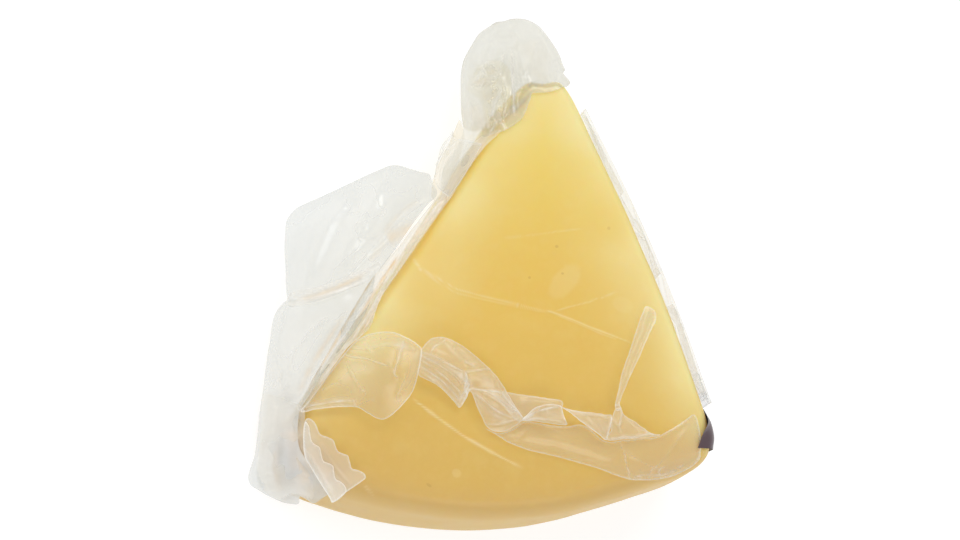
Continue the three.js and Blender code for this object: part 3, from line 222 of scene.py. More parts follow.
        lines=[([(0.2, -47.3), (6.9, -48.3), (14.9, -48.9), (22.9, -50.0), (30.2, -51.5), (35.6, -52.6)], 1.2, 0.28, 0.05), ([(5.4, -45.7), (12.0, -46.4), (20.0, -47.2), (28.1, -48.6), (34.3, -49.9)], 1.5, -0.25, 0.04), ([(34.7, -47.5), (35.4, -50.3), (36.8, -54.8)], 0.55, 0.5, 0.45), ([(33.5, -45.8), (34.7, -47.5), (38.8, -49.4), (44.0, -51.1), (49.4, -51.5)], 0.6, 0.35, 0.16), ([(43.5, -51.4), (45.9, -48.0), (49.3, -42.9), (53.2, -36.6)], 0.7, 0.5, 0.1), ([(44.2, -42.4), (47.5, -40.5), (53.1, -36.1)], 0.6, 0.4, 0.15), ([(37.9, -54.2), (41.0, -53.3), (44.2, -53.2), (47.3, -52.0), (50.4, -50.6)], 0.7, 0.6, 0.45), ([(41.9, -54.5), (42.5, -52.1), (44.0, -50.3)], 0.5, 0.45, 0.4), ([(45.0, -53.8), (44.6, -51.8), (46.1, -50.1)], 0.5, 0.45, 0.35), ([(47.4, -53.0), (48.8, -51.0), (50.9, -49.5)], 0.5, 0.4, 0.35), ([(40.0, -54.4), (39.3, -51.9)], 0.4, 0.35, 0.3), ([(11.8, -43.3), (15.9, -45.1), (20.0, -46.5)], 0.8, 0.2, 0.05), ([(9.4, -43.1), (7.5, -45.9), (4.3, -48.4)], 0.7, 0.3, 0.06)],
        tones=[],
        warm=[],
    ),
    'crease_strip': dict(
        outline=[(-24.5, -40.3), (-23.4, -40.7), (-17.9, -43.6), (-9.1, -48.2), (-0.1, -52.3), (8.5, -55.1), (7.8, -55.9), (-0.8, -53.3), (-9.8, -49.3), (-18.6, -44.5), (-24.7, -41.1)],
        z=[(-24.5, -40.3, 37.2), (-17.9, -43.6, 36.5), (-9.1, -48.2, 36.4), (-0.1, -52.3, 36.4), (8.3, -55.4, 36.3), (-0.9, -53.2, 36.3), (-18.6, -44.5, 36.4)],
        lines=[([(-24.2, -40.8), (-18.4, -44.1), (-9.6, -48.8), (-0.6, -52.9), (8.0, -55.4)], 0.35, 0.35, 0.3)],
        tones=[],
        warm=[],
    ),
    'right_side': dict(
        outline=[(10.8, 44.6), (14.4, 40.3), (17.5, 35.3), (20.5, 30.6), (23.6, 26.5), (26.5, 23.4), (30.4, 19.1), (34.2, 14.3), (37.9, 9.2), (40.0, 3.0), (41.8, -2.9), (42.2, -5.2), (41.2, -6.7), (42.4, -8.1), (43.7, -10.3), (46.4, -17.7), (49.1, -25.0), (51.4, -31.0), (53.4, -35.8), (52.7, -37.2), (50.0, -30.2), (46.0, -20.1), (42.2, -12.1), (39.6, -7.1), (36.1, 0.4), (32.6, 7.4), (28.2, 15.9), (22.9, 24.3), (17.7, 32.1), (13.0, 40.1)],
        z=[(10.8, 44.6, 34), (20.5, 30.6, 30), (30.4, 19.1, 26), (37.9, 9.2, 24), (42.2, -5.2, 24), (41.2, -6.7, 26), (49.1, -25.0, 29), (53.4, -35.8, 32), (52.7, -37.2, 35), (42.2, -12.1, 34.5), (36.1, 0.4, 33.5), (22.9, 24.3, 33.5), (13.0, 40.1, 35)],
        lines=[([(29.2, 16.8), (32.9, 10.1), (36.2, 2.5), (38.1, -4.7)], 0.9, -0.6, 0.06), ([(34.3, 14.0), (32.9, 10.1), (31.5, 7.8)], 0.5, 0.5, 0.16), ([(38.6, 6.0), (36.7, 2.6), (35.2, 1.9)], 0.5, 0.5, 0.18), ([(41.5, -3.7), (39.3, -2.4), (37.1, -1.6)], 0.5, 0.6, 0.22), ([(36.2, 2.5), (37.7, 3.8), (39.4, 2.9)], 0.4, 0.4, 0.25), ([(40.7, -6.2), (41.8, -7.4), (43.7, -11.4), (47.1, -20.0), (50.5, -29.6)], 0.6, 0.5, 0.22)],
        tones=[([(24.3, 23.9), (30.8, 16.2), (35.8, 8.3), (38.5, 0.7)], 1.8, 0.08), ([(37.6, 2.7), (39.8, -2.3), (41.1, -4.8)], 1.6, 0.14)],
        warm=[([(36.3, 1.5), (39.4, -3.5)], 1.0, 0.18)],
    ),
    'hood_top': dict(
        outline=[(-8.4, 30.6), (-6.4, 31.8), (-4.3, 32.8), (-2.6, 34.0), (-1.1, 35.2), (0.2, 36.6), (1.1, 38.4), (1.7, 40.4), (2.3, 42.6), (2.6, 44.0), (4.6, 44.5), (7.3, 45.1), (9.4, 45.8), (9.6, 45.9), (12.9, 48.1), (11.1, 50.4), (10.7, 50.8), (11.2, 51.7), (10.4, 53.2), (9.4, 55.5), (7.6, 58.0), (5.5, 60.4), (3.1, 62.6), (0.6, 63.7), (-1.8, 64.0), (-4.5, 63.6), (-6.8, 62.6), (-8.9, 62.0), (-10.9, 60.4), (-12.7, 58.8), (-13.9, 57.2), (-15.0, 54.9), (-16.2, 52.3), (-17.0, 49.8), (-17.3, 46.5), (-17.0, 42.5), (-16.6, 38.5), (-16.0, 34.6), (-15.4, 31.2), (-16.2, 27.9), (-17.8, 24.5), (-19.6, 21.3), (-20.4, 17.7), (-19.8, 14.1), (-18.3, 12.7), (-16.7, 15.6), (-14.5, 20.1), (-11.7, 25.3)],
        z=[(-8.4, 30.6, 36.8), (-1.1, 35.4, 37.4), (2.5, 44.0, 37.6), (9.4, 45.8, 36.8), (12.9, 48.2, 30), (11.0, 51.7, 26), (7.6, 58.0, 22), (3.1, 62.6, 18), (-1.8, 63.9, 14), (-6.8, 62.6, 13), (-12.7, 58.8, 11), (-15.0, 54.9, 11), (-17.3, 46.5, 12), (-16.6, 38.5, 15), (-15.4, 31.2, 22), (-19.6, 21.3, 24), (-20.3, 16.7, 25), (-18.3, 12.7, 36.2), (-14.5, 20.1, 36.4), (-11.7, 25.3, 36.6), (-6.9, 37.2, 37.8), (-5.0, 46.9, 36.5), (4.1, 51.0, 34.5), (-10.6, 50.2, 30), (-1.7, 55.5, 30), (2.1, 58.8, 26), (-7.1, 56.1, 26), (-12.6, 41.8, 30), (-12.4, 33.8, 33), (-15.7, 22.6, 34), (8.3, 48.9, 34), (5.9, 55.3, 28)],
        lines=[([(-3.6, 55.5), (-3.5, 51.7), (-2.9, 48.0), (-2.6, 43.8), (-2.2, 39.5), (-2.0, 36.9)], 0.9, 1.4, 0.75), ([(-5.9, 54.1), (-6.2, 51.3), (-6.8, 49.1), (-6.1, 47.0)], 0.7, 1.0, 0.55), ([(-5.6, 44.9), (-6.5, 42.1), (-7.3, 39.9), (-7.9, 37.1), (-8.4, 36.0)], 0.9, 1.2, 0.6), ([(-1.7, 48.8), (-1.2, 46.1), (-1.8, 43.9)], 0.7, 0.8, 0.4), ([(-12.9, 45.0), (-11.4, 46.8), (-10.1, 47.5), (-11.1, 49.0), (-9.6, 50.3), (-8.1, 49.4)], 0.6, 1.0, 0.5), ([(-14.3, 43.2), (-13.1, 44.4), (-11.7, 44.1), (-10.5, 45.3), (-9.1, 45.0)], 0.5, 0.9, 0.45), ([(-11.9, 49.4), (-10.4, 50.7), (-8.7, 49.9), (-7.0, 49.1)], 0.5, 0.8, 0.4), ([(-13.5, 46.5), (-12.1, 48.3), (-10.3, 46.4)], 0.45, -0.8, 0.3), ([(-10.0, 48.6), (-8.2, 47.3), (-6.7, 48.0)], 0.45, 0.7, 0.35), ([(-8.3, 31.7), (-7.3, 33.4), (-6.7, 35.1)], 0.5, 0.6, 0.45), ([(-3.8, 32.8), (-4.7, 34.3), (-5.6, 35.3)], 0.5, 0.6, 0.45), ([(2.5, 43.4), (1.7, 41.1), (1.0, 38.9), (-0.1, 36.9)], 0.7, 0.5, 0.3), ([(-3.1, 56.7), (-2.0, 52.8), (-0.5, 48.4), (-0.5, 44.6)], 1.6, -1.0, 0.03), ([(2.2, 58.0), (1.5, 53.3), (0.3, 48.5)], 1.4, 0.8, 0.05), ([(5.4, 57.9), (6.8, 53.8), (7.2, 49.5), (6.6, 46.2)], 1.6, 0.7, 0.08), ([(8.4, 54.0), (9.3, 50.4), (9.0, 46.5)], 1.0, 0.5, 0.1), ([(-8.9, 61.2), (-10.1, 57.3), (-11.9, 52.7), (-13.1, 48.2)], 2.0, 0.9, 0.06), ([(-12.4, 58.0), (-8.6, 57.5), (-4.8, 58.0), (-2.3, 59.5)], 1.8, -0.7, 0.04), ([(-5.7, 62.2), (-3.9, 59.8), (-1.1, 58.6), (2.1, 58.5)], 1.5, 0.5, 0.05), ([(-14.6, 39.9), (-13.1, 35.8), (-13.3, 31.0), (-13.9, 25.5), (-15.5, 20.0)], 0.9, 0.7, 0.18), ([(-13.0, 40.1), (-10.9, 35.0), (-11.6, 30.1), (-13.8, 25.0)], 1.0, -0.6, 0.06), ([(-16.4, 49.3), (-15.4, 44.1), (-15.0, 38.8)], 1.2, 0.5, 0.06), ([(-10.1, 56.7), (-8.3, 54.3), (-8.1, 51.6)], 1.2, 0.8, 0.1), ([(2.1, 62.3), (4.2, 59.4), (5.8, 56.4)], 1.0, 0.4, 0.08)],
        tones=[([(2.0, 60.1), (3.8, 55.0), (4.3, 48.3)], 4.6, 0.14), ([(-3.6, 59.3), (-2.7, 51.3), (-2.0, 43.3)], 0.7, 0.22), ([(-16.7, 46.6), (-15.9, 40.0), (-14.9, 34.0)], 2.2, 0.1), ([(-8.8, 60.2), (-11.6, 55.4), (-13.4, 50.8)], 3.0, 0.06)],
        warm=[([(1.0, 58.9), (3.0, 53.8), (3.0, 47.8)], 4.0, 0.1), ([(-12.9, 39.1), (-10.9, 35.0), (-9.1, 32.1)], 2.6, 0.22), ([(-6.8, 36.7), (-4.1, 36.6), (-1.7, 39.6)], 2.8, 0.22)],
    ),
    'hood_under': dict(
        outline=[(-17.3, 46.5), (-17.0, 42.5), (-16.6, 38.5), (-16.0, 34.6), (-14.9, 31.8), (-11.7, 31.7), (-7.4, 33.9), (-2.8, 37.3), (0.9, 41.0), (4.7, 43.7), (9.4, 45.8), (12.9, 48.1), (11.1, 50.4), (10.7, 50.8), (11.2, 51.7), (10.4, 53.2), (9.4, 55.5), (7.6, 58.0), (5.5, 60.4), (3.1, 62.6), (0.6, 63.7), (-1.8, 64.0), (-4.5, 63.6), (-6.8, 62.6), (-8.9, 62.0), (-10.9, 60.4), (-12.7, 58.8), (-13.9, 57.2), (-15.0, 54.9), (-16.2, 52.3), (-17.0, 49.8)],
        z=[(12.9, 48.2, 30), (11.0, 51.7, 26), (7.6, 58.0, 22), (3.1, 62.6, 18), (-1.8, 63.9, 14), (-6.8, 62.6, 13), (-12.7, 58.8, 11), (-15.0, 54.9, 11), (-17.3, 46.5, 12), (-16.6, 38.5, 15), (-15.4, 31.2, 12), (-8.0, 50.5, 4), (-0.0, 51.7, 4), (4.8, 52.4, 8), (-3.3, 58.8, 7), (-9.9, 42.2, 4), (-2.0, 43.3, 3), (5.3, 46.0, 14), (-7.4, 33.9, 6), (0.9, 41.0, 8), (8.0, 52.9, 15)],
        lines=[([(-13.5, 52.4), (-9.6, 44.9), (-7.9, 37.1)], 1.4, 0.8, 0.05), ([(-3.3, 59.3), (-2.1, 51.4), (-2.5, 43.2)], 1.4, -0.8, 0.05), ([(4.3, 57.8), (4.2, 52.3), (3.2, 45.7)], 1.4, 0.7, 0.05)],
        tones=[],
        warm=[],
    ),
    'hood_gold': dict(
        outline=[(-15.6, 42.4), (-15.0, 45.2), (-13.7, 48.1), (-11.7, 50.3), (-9.1, 51.5), (-6.2, 51.3), (-4.1, 49.5), (-3.3, 45.8), (-3.2, 41.5), (-3.6, 37.2), (-5.3, 34.2), (-7.2, 32.4), (-9.0, 33.7), (-10.3, 36.7), (-11.3, 39.8), (-13.1, 41.2)],
        z=[(-15.6, 42.4, 13), (-13.7, 48.1, 20), (-9.1, 51.5, 29), (-4.1, 49.5, 34), (-3.3, 45.8, 36), (-3.6, 37.2, 36.4), (-7.2, 32.4, 36.4), (-10.3, 36.7, 34), (-11.3, 39.8, 30), (-9.0, 46.4, 31), (-7.2, 41.2, 35.5), (-12.8, 44.4, 24)],
        lines=[([(-14.3, 43.2), (-12.9, 45.0), (-11.2, 44.1), (-10.3, 46.4), (-8.1, 45.7), (-6.7, 48.0)], 0.5, 1.2, 0.55), ([(-13.0, 47.1), (-11.1, 49.0), (-9.3, 47.6), (-7.9, 50.0), (-5.7, 49.3)], 0.5, -1.0, 0.45), ([(-13.2, 42.2), (-11.0, 42.5), (-9.6, 44.4), (-7.4, 43.6)], 0.5, 1.1, 0.5), ([(-8.4, 42.4), (-7.4, 44.1), (-5.7, 42.8), (-4.5, 44.6)], 0.45, 1.0, 0.5), ([(-9.7, 39.5), (-8.0, 41.4), (-6.3, 40.0)], 0.45, 0.9, 0.45), ([(-6.2, 48.1), (-5.3, 44.5), (-4.4, 40.3), (-4.7, 36.5)], 0.6, 1.2, 0.6), ([(-7.5, 38.8), (-6.8, 36.7), (-7.1, 34.0)], 0.5, 0.8, 0.5), ([(-11.2, 41.4), (-9.2, 40.1), (-8.5, 37.5)], 0.5, 0.8, 0.35)],
        tones=[([(-6.3, 50.2), (-5.2, 46.6), (-4.9, 42.9)], 0.8, 0.35), ([(-2.5, 43.2), (-2.5, 39.5), (-3.0, 36.2)], 0.7, 0.35)],
        warm=[([(-13.3, 44.4), (-11.3, 45.2), (-9.1, 45.0)], 1.4, 0.45), ([(-10.5, 48.6), (-7.7, 47.9)], 1.2, 0.4), ([(-11.5, 41.4), (-8.8, 41.8), (-6.2, 42.7)], 1.4, 0.4), ([(-9.0, 37.5), (-6.9, 37.2), (-5.1, 35.9)], 1.8, 0.35)],
    ),
    'side_band': dict(
        outline=[(-6.4, 31.7), (-7.8, 29.6), (-10.2, 26.6), (-12.8, 22.2), (-15.3, 17.1), (-17.5, 12.5), (-20.3, 7.4), (-23.7, 1.4), (-27.1, -4.9), (-28.5, -6.1), (-26.8, -1.7), (-24.2, 3.9), (-21.5, 9.6), (-19.5, 14.1), (-18.0, 18.6), (-15.8, 23.1), (-13.0, 27.5), (-10.0, 30.4)],
        z=[(-6.4, 31.7, 36.2), (-7.8, 29.6, 36.5), (-12.8, 22.2, 36.5), (-17.5, 12.5, 36.5), (-23.7, 1.4, 36.6), (-27.1, -4.9, 36.6), (-28.5, -6.1, 35), (-24.2, 3.9, 33), (-21.5, 9.6, 32), (-18.0, 18.6, 32), (-13.0, 27.5, 32), (-10.0, 30.4, 34)],
        lines=[([(-8.3, 29.5), (-12.6, 23.6), (-16.8, 16.1), (-20.4, 9.2), (-24.9, 0.7)], 0.7, 0.6, 0.16), ([(-11.4, 28.0), (-15.2, 22.2), (-18.3, 15.9), (-21.9, 8.5)], 0.7, -0.5, 0.1)],
        tones=[],
        warm=[([(-9.4, 28.8), (-14.6, 21.2), (-19.1, 12.0), (-24.1, 2.9)], 1.8, 0.35)],
    ),
    'hood_printed': dict(
        outline=[(-16.5, 34.0), (-17.6, 31.4), (-18.4, 28.9), (-19.9, 25.0), (-21.2, 21.6), (-22.0, 18.3), (-22.5, 15.3), (-22.3, 12.1), (-20.6, 11.3), (-18.9, 13.4), (-17.9, 17.0), (-16.7, 21.1), (-15.4, 25.3), (-15.0, 29.9)],
        z=[(-16.5, 34.0, 10), (-19.9, 25.0, 9), (-22.0, 18.3, 12), (-22.3, 12.1, 24), (-20.6, 11.3, 34), (-18.9, 13.4, 34), (-16.7, 21.1, 30), (-15.0, 29.9, 18), (-19.5, 17.3, 22)],
        lines=[([(-18.1, 28.9), (-19.1, 24.3), (-20.2, 19.3), (-21.1, 14.4)], 1.2, 0.6, 0.1), ([(-16.4, 30.5), (-17.8, 25.0), (-18.9, 19.5), (-19.8, 14.1)], 1.0, -0.5, 0.08)],
        tones=[],
        warm=[],
    ),
    'low_wrap': dict(
        outline=[(-61.3, -45.2), (-58.2, -45.3), (-54.5, -46.4), (-50.7, -47.9), (-50.1, -51.2), (-49.8, -55.0), (-49.0, -58.2), (-46.9, -61.3), (-44.5, -64.9), (-41.8, -68.6), (-45.0, -71.0), (-48.1, -70.4), (-51.2, -70.0), (-54.6, -71.7), (-58.3, -70.1), (-60.6, -67.6), (-61.1, -63.0), (-61.0, -57.9), (-61.2, -51.3)],
        z=[(-61.3, -45.2, 8), (-52.0, -48.1, 37.3), (-50.7, -47.9, 37.3), (-50.1, -51.2, 37.4), (-49.8, -55.0, 37.4), (-49.0, -58.2, 37.4), (-46.9, -61.3, 37.5), (-44.5, -64.9, 37.6), (-41.8, -68.6, 37.8), (-51.6, -55.2, 37.3), (-48.4, -61.5, 37.5), (-42.3, -68.7, 37.8), (-48.1, -70.4, 30), (-54.6, -71.7, 15), (-60.6, -67.6, 8), (-61.0, -57.9, 8), (-55.1, -53.1, 28), (-54.1, -63.2, 28), (-57.9, -58.6, 17)],
        lines=[([(-58.0, -46.8), (-58.2, -56.0), (-57.7, -66.2)], 1.6, 0.6, 0.05), ([(-54.8, -47.9), (-54.2, -56.8), (-51.0, -66.7)], 1.6, -0.6, 0.05)],
        tones=[([(-54.1, -50.4), (-53.4, -58.0), (-50.1, -65.3)], 4.0, 0.3)],
        warm=[([(-53.3, -52.9), (-51.0, -60.8), (-47.3, -67.5)], 2.6, 0.3)],
    ),
    'seal_long': dict(
        outline=[(-50.7, -48.2), (-49.3, -48.8), (-48.5, -49.7), (-47.6, -51.4), (-46.7, -52.1), (-45.1, -52.4), (-43.3, -53.1), (-42.6, -54.4), (-41.7, -55.8), (-40.4, -56.2), (-38.8, -56.6), (-38.2, -58.0), (-37.4, -59.7), (-35.9, -60.0), (-34.1, -60.5), (-33.4, -61.2), (-33.4, -62.0), (-35.3, -63.6), (-38.5, -66.2), (-41.8, -69.1), (-42.9, -68.0), (-45.5, -65.0), (-48.4, -61.5), (-50.7, -58.5), (-51.6, -55.2), (-51.9, -51.4), (-51.7, -48.8)],
        z=[(-50.7, -48.2, 37.3), (-43.3, -53.2, 37.4), (-38.8, -56.5, 37.5), (-33.5, -61.5, 38), (-38.5, -66.2, 38), (-41.8, -69.1, 38.2), (-48.4, -61.5, 37.4), (-51.8, -52.7, 37.2), (-42.7, -61.8, 37.6)],
        lines=[([(-47.1, -53.9), (-44.7, -57.0), (-41.5, -60.7), (-37.3, -64.3)], 0.5, 0.18, 0.04)],
        tones=[([(-49.9, -51.2), (-47.9, -56.1), (-44.3, -61.0), (-39.8, -66.1)], 1.6, 0.16), ([(-50.8, -52.6), (-49.2, -58.0), (-45.7, -63.2), (-42.2, -67.9)], 1.6, 0.12)],
        warm=[],
    ),
    'seal_short': dict(
        outline=[(-51.6, -49.1), (-50.5, -50.2), (-50.1, -51.7), (-49.4, -53.9), (-48.3, -54.7), (-46.9, -55.4), (-46.3, -56.9), (-45.6, -58.6), (-44.3, -59.1), (-42.7, -59.7), (-42.3, -61.3), (-41.6, -63.0), (-40.3, -63.5), (-39.1, -64.3), (-38.5, -66.2), (-41.8, -69.1), (-42.9, -68.0), (-45.5, -65.0), (-48.4, -61.5), (-50.7, -58.5), (-51.6, -55.2), (-51.9, -51.4)],
        z=[(-51.6, -49.1, 37.8), (-46.9, -55.4, 38), (-42.7, -59.5, 38.1), (-38.5, -66.2, 38.6), (-41.8, -69.1, 38.8), (-48.4, -61.5, 38), (-51.8, -52.7, 37.8)],
        lines=[([(-50.1, -56.9), (-47.2, -60.6), (-44.3, -64.3), (-41.3, -68.3)], 0.5, 0.3, 0.25)],
        tones=[([(-51.4, -51.1), (-50.0, -55.0), (-47.6, -59.4), (-43.5, -65.0)], 1.8, 0.2)],
        warm=[([(-49.5, -55.0), (-46.6, -59.2), (-43.1, -62.9)], 2.0, 0.25)],
    ),
}
# Marks on the upper face of the cheese, as shares of the box of its CAD node.
PRESSED = [([(0.2343, 0.5484), (0.2648, 0.5337), (0.3054, 0.5182), (0.3487, 0.5009), (0.405, 0.4939), (0.4668, 0.4879), (0.5277, 0.4818), (0.5849, 0.4775)], 0.26, 0.08, 0.34), ([(0.2426, 0.5398), (0.3063, 0.5095), (0.3487, 0.4922), (0.4105, 0.4862), (0.4714, 0.4818), (0.5406, 0.4766), (0.5849, 0.4749)], 0.22, 0.06, 0.24), ([(0.5655, 0.4801), (0.5849, 0.4775), (0.6328, 0.4671), (0.678, 0.455), (0.7334, 0.4429), (0.7961, 0.4282)], 0.26, 0.1, 0.38), ([(0.5849, 0.4775), (0.6208, 0.4931), (0.6494, 0.5035), (0.6799, 0.5147), (0.7205, 0.5355), (0.7491, 0.5545)], 0.24, 0.07, 0.26), ([(0.5849, 0.4749), (0.6402, 0.4611), (0.7039, 0.4438), (0.7583, 0.4325)], 0.22, 0.07, 0.22), ([(0.4419, 0.6289), (0.5138, 0.6445), (0.5858, 0.6635), (0.6513, 0.6782)], 0.22, 0.06, 0.22), ([(0.2362, 0.5571), (0.2491, 0.545), (0.2611, 0.5285)], 0.35, 0.12, 0.5), ([(0.6725, 0.5156), (0.7113, 0.5277), (0.7491, 0.5484)], 0.22, 0.07, 0.25), ([(0.2583, 0.2483), (0.309, 0.2189), (0.3902, 0.1765), (0.4732, 0.1436), (0.5526, 0.1168)], 0.42, 0.12, 0.5), ([(0.1707, 0.0398), (0.1882, 0.0268), (0.2131, 0.0121)], 0.3, 0.1, 0.35)]
SPOTS = [(0.6079, 0.551), (0.3856, 0.0908), (0.322, 0.0571), (0.5821, 0.628), (0.5221, 0.5493), (0.6015, 0.5683), (0.7546, 0.5147), (0.7057, 0.6851)]
EYE = np.array([-224.83, -229.80, 1012.86])
LEFT_SIDE = [[[-11.2, 27.4, 37], [-14.2, 28.8, 33], [-14.4, 31.6, 22], [-13.2, 34.8, 11], [-11.4, 37.6, 1.2]], [[-12.9, 23.3, 37.0], [-15.8, 25.4, 33.0], [-15.7, 29.9, 22.0], [-14.1, 34.6, 11.0], [-11.7, 39.1, 1.2]], [[-15.8, 17.1, 37.0], [-18.8, 19.7, 33.0], [-18.5, 24.6, 22.0], [-16.4, 29.6, 11.0], [-13.8, 34.4, 1.2]], [[-18.6, 12.1, 37.2], [-21.0, 14.9, 34.0], [-19.7, 20.4, 23.0], [-17.2, 25.9, 11.0], [-14.8, 31.0, 1.2]]]
# Where each piece goes: the CAD nodes it belongs to, and the box that its own drawing fills (millimetres). The drawing is
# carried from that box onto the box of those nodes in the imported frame.
PLACE = {
    'film_left_side_sheet': (('film_left_side',), (-22.27, 12.65, 1.2), (-12.45, 39.76, 37.2)),
    'film_right_side_sheet': (('film_right_side',), (14.91, -31.64, 1.38), (54.23, 42.15, 34.6)),
    'film_base_sheet': (('film_base',), (-56.94, -68.48, 0.22), (55.46, 40.97, 1.27)),
    'film_left_flap_sheet': (('film_left_flap', 'film_lower_flap'), (-59.25, -70.93, 4.41), (-20.47, 22.71, 38.75)),
    'film_lower_flap_sheet': (('film_left_flap', 'film_lower_flap'), (-59.25, -70.93, 4.41), (-20.47, 22.71, 38.75)),
    'film_fold_rope': (('film_left_flap', 'film_lower_flap'), (-59.25, -70.93, 4.41), (-20.47, 22.71, 38.75)),
    'film_low_wrap': (('film_left_flap', 'film_lower_flap'), (-59.25, -70.93, 4.41), (-20.47, 22.71, 38.75)),
    'film_edge_gather': (('film_left_side', 'film_left_flap', 'film_lower_flap'), (-59.25, -70.93, 1.2), (-12.45, 39.76, 38.75)),
    'film_end_seal_long': (('end_seal_back', 'end_seal_front'), (-53.47, -69.06, 37.18), (-34.92, -47.88, 38.8)),
    'film_end_seal_short': (('end_seal_back', 'end_seal_front'), (-53.47, -69.06, 37.18), (-34.92, -47.88, 38.8)),
    'film_tongue_sheet': (('film_tongue', 'film_band', 'film_torn_strip', 'film_right_ribbon', 'film_lower_skin'), (-53.98, -54.53, 36.3), (54.53, -7.71, 43.68)),
    'film_band_sheet': (('film_tongue', 'film_band', 'film_torn_strip', 'film_right_ribbon', 'film_lower_skin'), (-53.98, -54.53, 36.3), (54.53, -7.71, 43.68)),
    'film_band_second': (('film_tongue', 'film_band', 'film_torn_strip', 'film_right_ribbon', 'film_lower_skin'), (-53.98, -54.53, 36.3), (54.53, -7.71, 43.68)),
    'film_band_third': (('film_tongue', 'film_band', 'film_torn_strip', 'film_right_ribbon', 'film_lower_skin'), (-53.98, -54.53, 36.3), (54.53, -7.71, 43.68)),
    'film_band_loop': (('film_tongue', 'film_band', 'film_torn_strip', 'film_right_ribbon', 'film_lower_skin'), (-53.98, -54.53, 36.3), (54.53, -7.71, 43.68)),
    'film_torn_strip_sheet': (('film_tongue', 'film_band', 'film_torn_strip', 'film_right_ribbon', 'film_lower_skin'), (-53.98, -54.53, 36.3), (54.53, -7.71, 43.68)),
    'film_torn_strip_tail': (('film_tongue', 'film_band', 'film_torn_strip', 'film_right_ribbon', 'film_lower_skin'), (-53.98, -54.53, 36.3), (54.53, -7.71, 43.68)),
    'film_right_ribbon_sheet': (('film_tongue', 'film_band', 'film_torn_strip', 'film_right_ribbon', 'film_lower_skin'), (-53.98, -54.53, 36.3), (54.53, -7.71, 43.68)),
    'film_lower_skin_sheet': (('film_tongue', 'film_band', 'film_torn_strip', 'film_right_ribbon', 'film_lower_skin'), (-53.98, -54.53, 36.3), (54.53, -7.71, 43.68)),
    'film_hood_sheet': (('film_hood', 'film_left_side'), (-22.27, 12.65, 1.2), (13.19, 71.28, 40.19)),
    'film_hood_under': (('film_hood', 'film_left_side'), (-22.27, 12.65, 1.2), (13.19, 71.28, 40.19)),
    'film_hood_folds': (('film_hood', 'film_left_side'), (-22.27, 12.65, 1.2), (13.19, 71.28, 40.19)),
    'film_hood_side': (('film_hood', 'film_left_side'), (-22.27, 12.65, 1.2), (13.19, 71.28, 40.19)),
    'film_side_band': (('film_left_side', 'film_left_flap'), (-56.03, -14.8, 1.2), (-12.45, 39.76, 37.2)),
    'film_right_edge_sheet': (('film_right_side',), (9.76, -36.95, 23.42), (53.29, 45.71, 36.25)),
    'cheese': (('cheese_wedge',), (-53.15, -68.65, 0.8), (55.25, 46.95, 35.7)),
}
# ------------------------------------------------------------------------------------------------ the wedge of cheese
# Outline at mid height, anticlockwise: x, y, share that belongs to the rind.
WEDGE = [
    (10.3, 46.2, 0), (4.6, 46.4, 0), (-1.0, 44.7, 0), (-8.3, 31.3, 0), (-18.0, 12.8, 0), (-24.9, -0.6, 0), (-33.8, -16.6, 0),
    (-41.3, -30.4, 0), (-48.4, -43.6, 0), (-51.3, -50.8, 0.2), (-51.9, -57.5, 0.5), (-50.0, -62.6, 0.8), (-45.6, -65.2, 1),
    (-39.4, -66.6, 1), (-31.8, -67.9, 1), (-23.4, -68.9, 1), (-11.0, -69.2, 1), (-1.0, -68.6, 1), (9.0, -67.0, 1),
    (19.0, -64.4, 1), (32.5, -59.2, 1), (45.6, -53.2, 1), (52.2, -49.8, 0.8), (55.6, -46.6, 0.5), (56.5, -42.8, 0.2),
    (54.9, -36.4, 0), (50.0, -25.2, 0), (44.6, -13.6, 0), (40.3, -5.0, 0), (34.6, 5.6, 0), (28.6, 16.6, 0), (19.4, 32.0, 0),
]
Z0, Z1 = 0.8, 35.7
def node_box(nodes):
    """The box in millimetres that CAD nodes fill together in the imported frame."""
    b = [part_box(n) for n in nodes]
    return np.min([np.array(q[0], float) for q in b], 0) / MM, np.max([np.array(q[1], float) for q in b], 0) / MM


def place(name, P):
    """Carry a piece from the box of its own drawing onto the box of its CAD nodes. A thin node only sets the level."""
    nodes, a, b = PLACE[name]
    lo, hi = node_box(nodes)
    a, b = np.array(a, float), np.array(b, float)
    k = (hi - lo) / (b - a)
    if hi[2] - lo[2] < 5.0:
        k[2] = 1.0
    return lo + (P - a) * k


# Faint pressed lines in the upper face: x, y points of each, its width, its height, and the strength of the painted
# highlight laid along it.
CH_LO, CH_HI = node_box(["cheese_wedge"])


def on_cheese(uv):
    return CH_LO[:2] + np.asarray(uv, float) * (CH_HI - CH_LO)[:2] - SHIFT[:2]


LINES = [([tuple(on_cheese(q)) for q in pts], w_, h_, p_) for pts, w_, h_, p_ in PRESSED]


def seg_distance(x, y, pts):
    """Distance of each x, y to a polyline, and how far along it (0 to 1) the nearest point is."""
    best = np.full(x.shape, 1e9)
    along = np.zeros(x.shape)
    p = np.asarray(pts, float)
    n = len(p) - 1
    for i in range(n):
        a, b = p[i], p[i + 1]
        d = b - a
        t = np.clip(((x - a[0]) * d[0] + (y - a[1]) * d[1]) / (d @ d), 0, 1)
        r = np.hypot(x - a[0] - t * d[0], y - a[1] - t * d[1])
        m = r < best
        best[m] = r[m]
        along[m] = ((i + t) / n)[m]
    return best, along


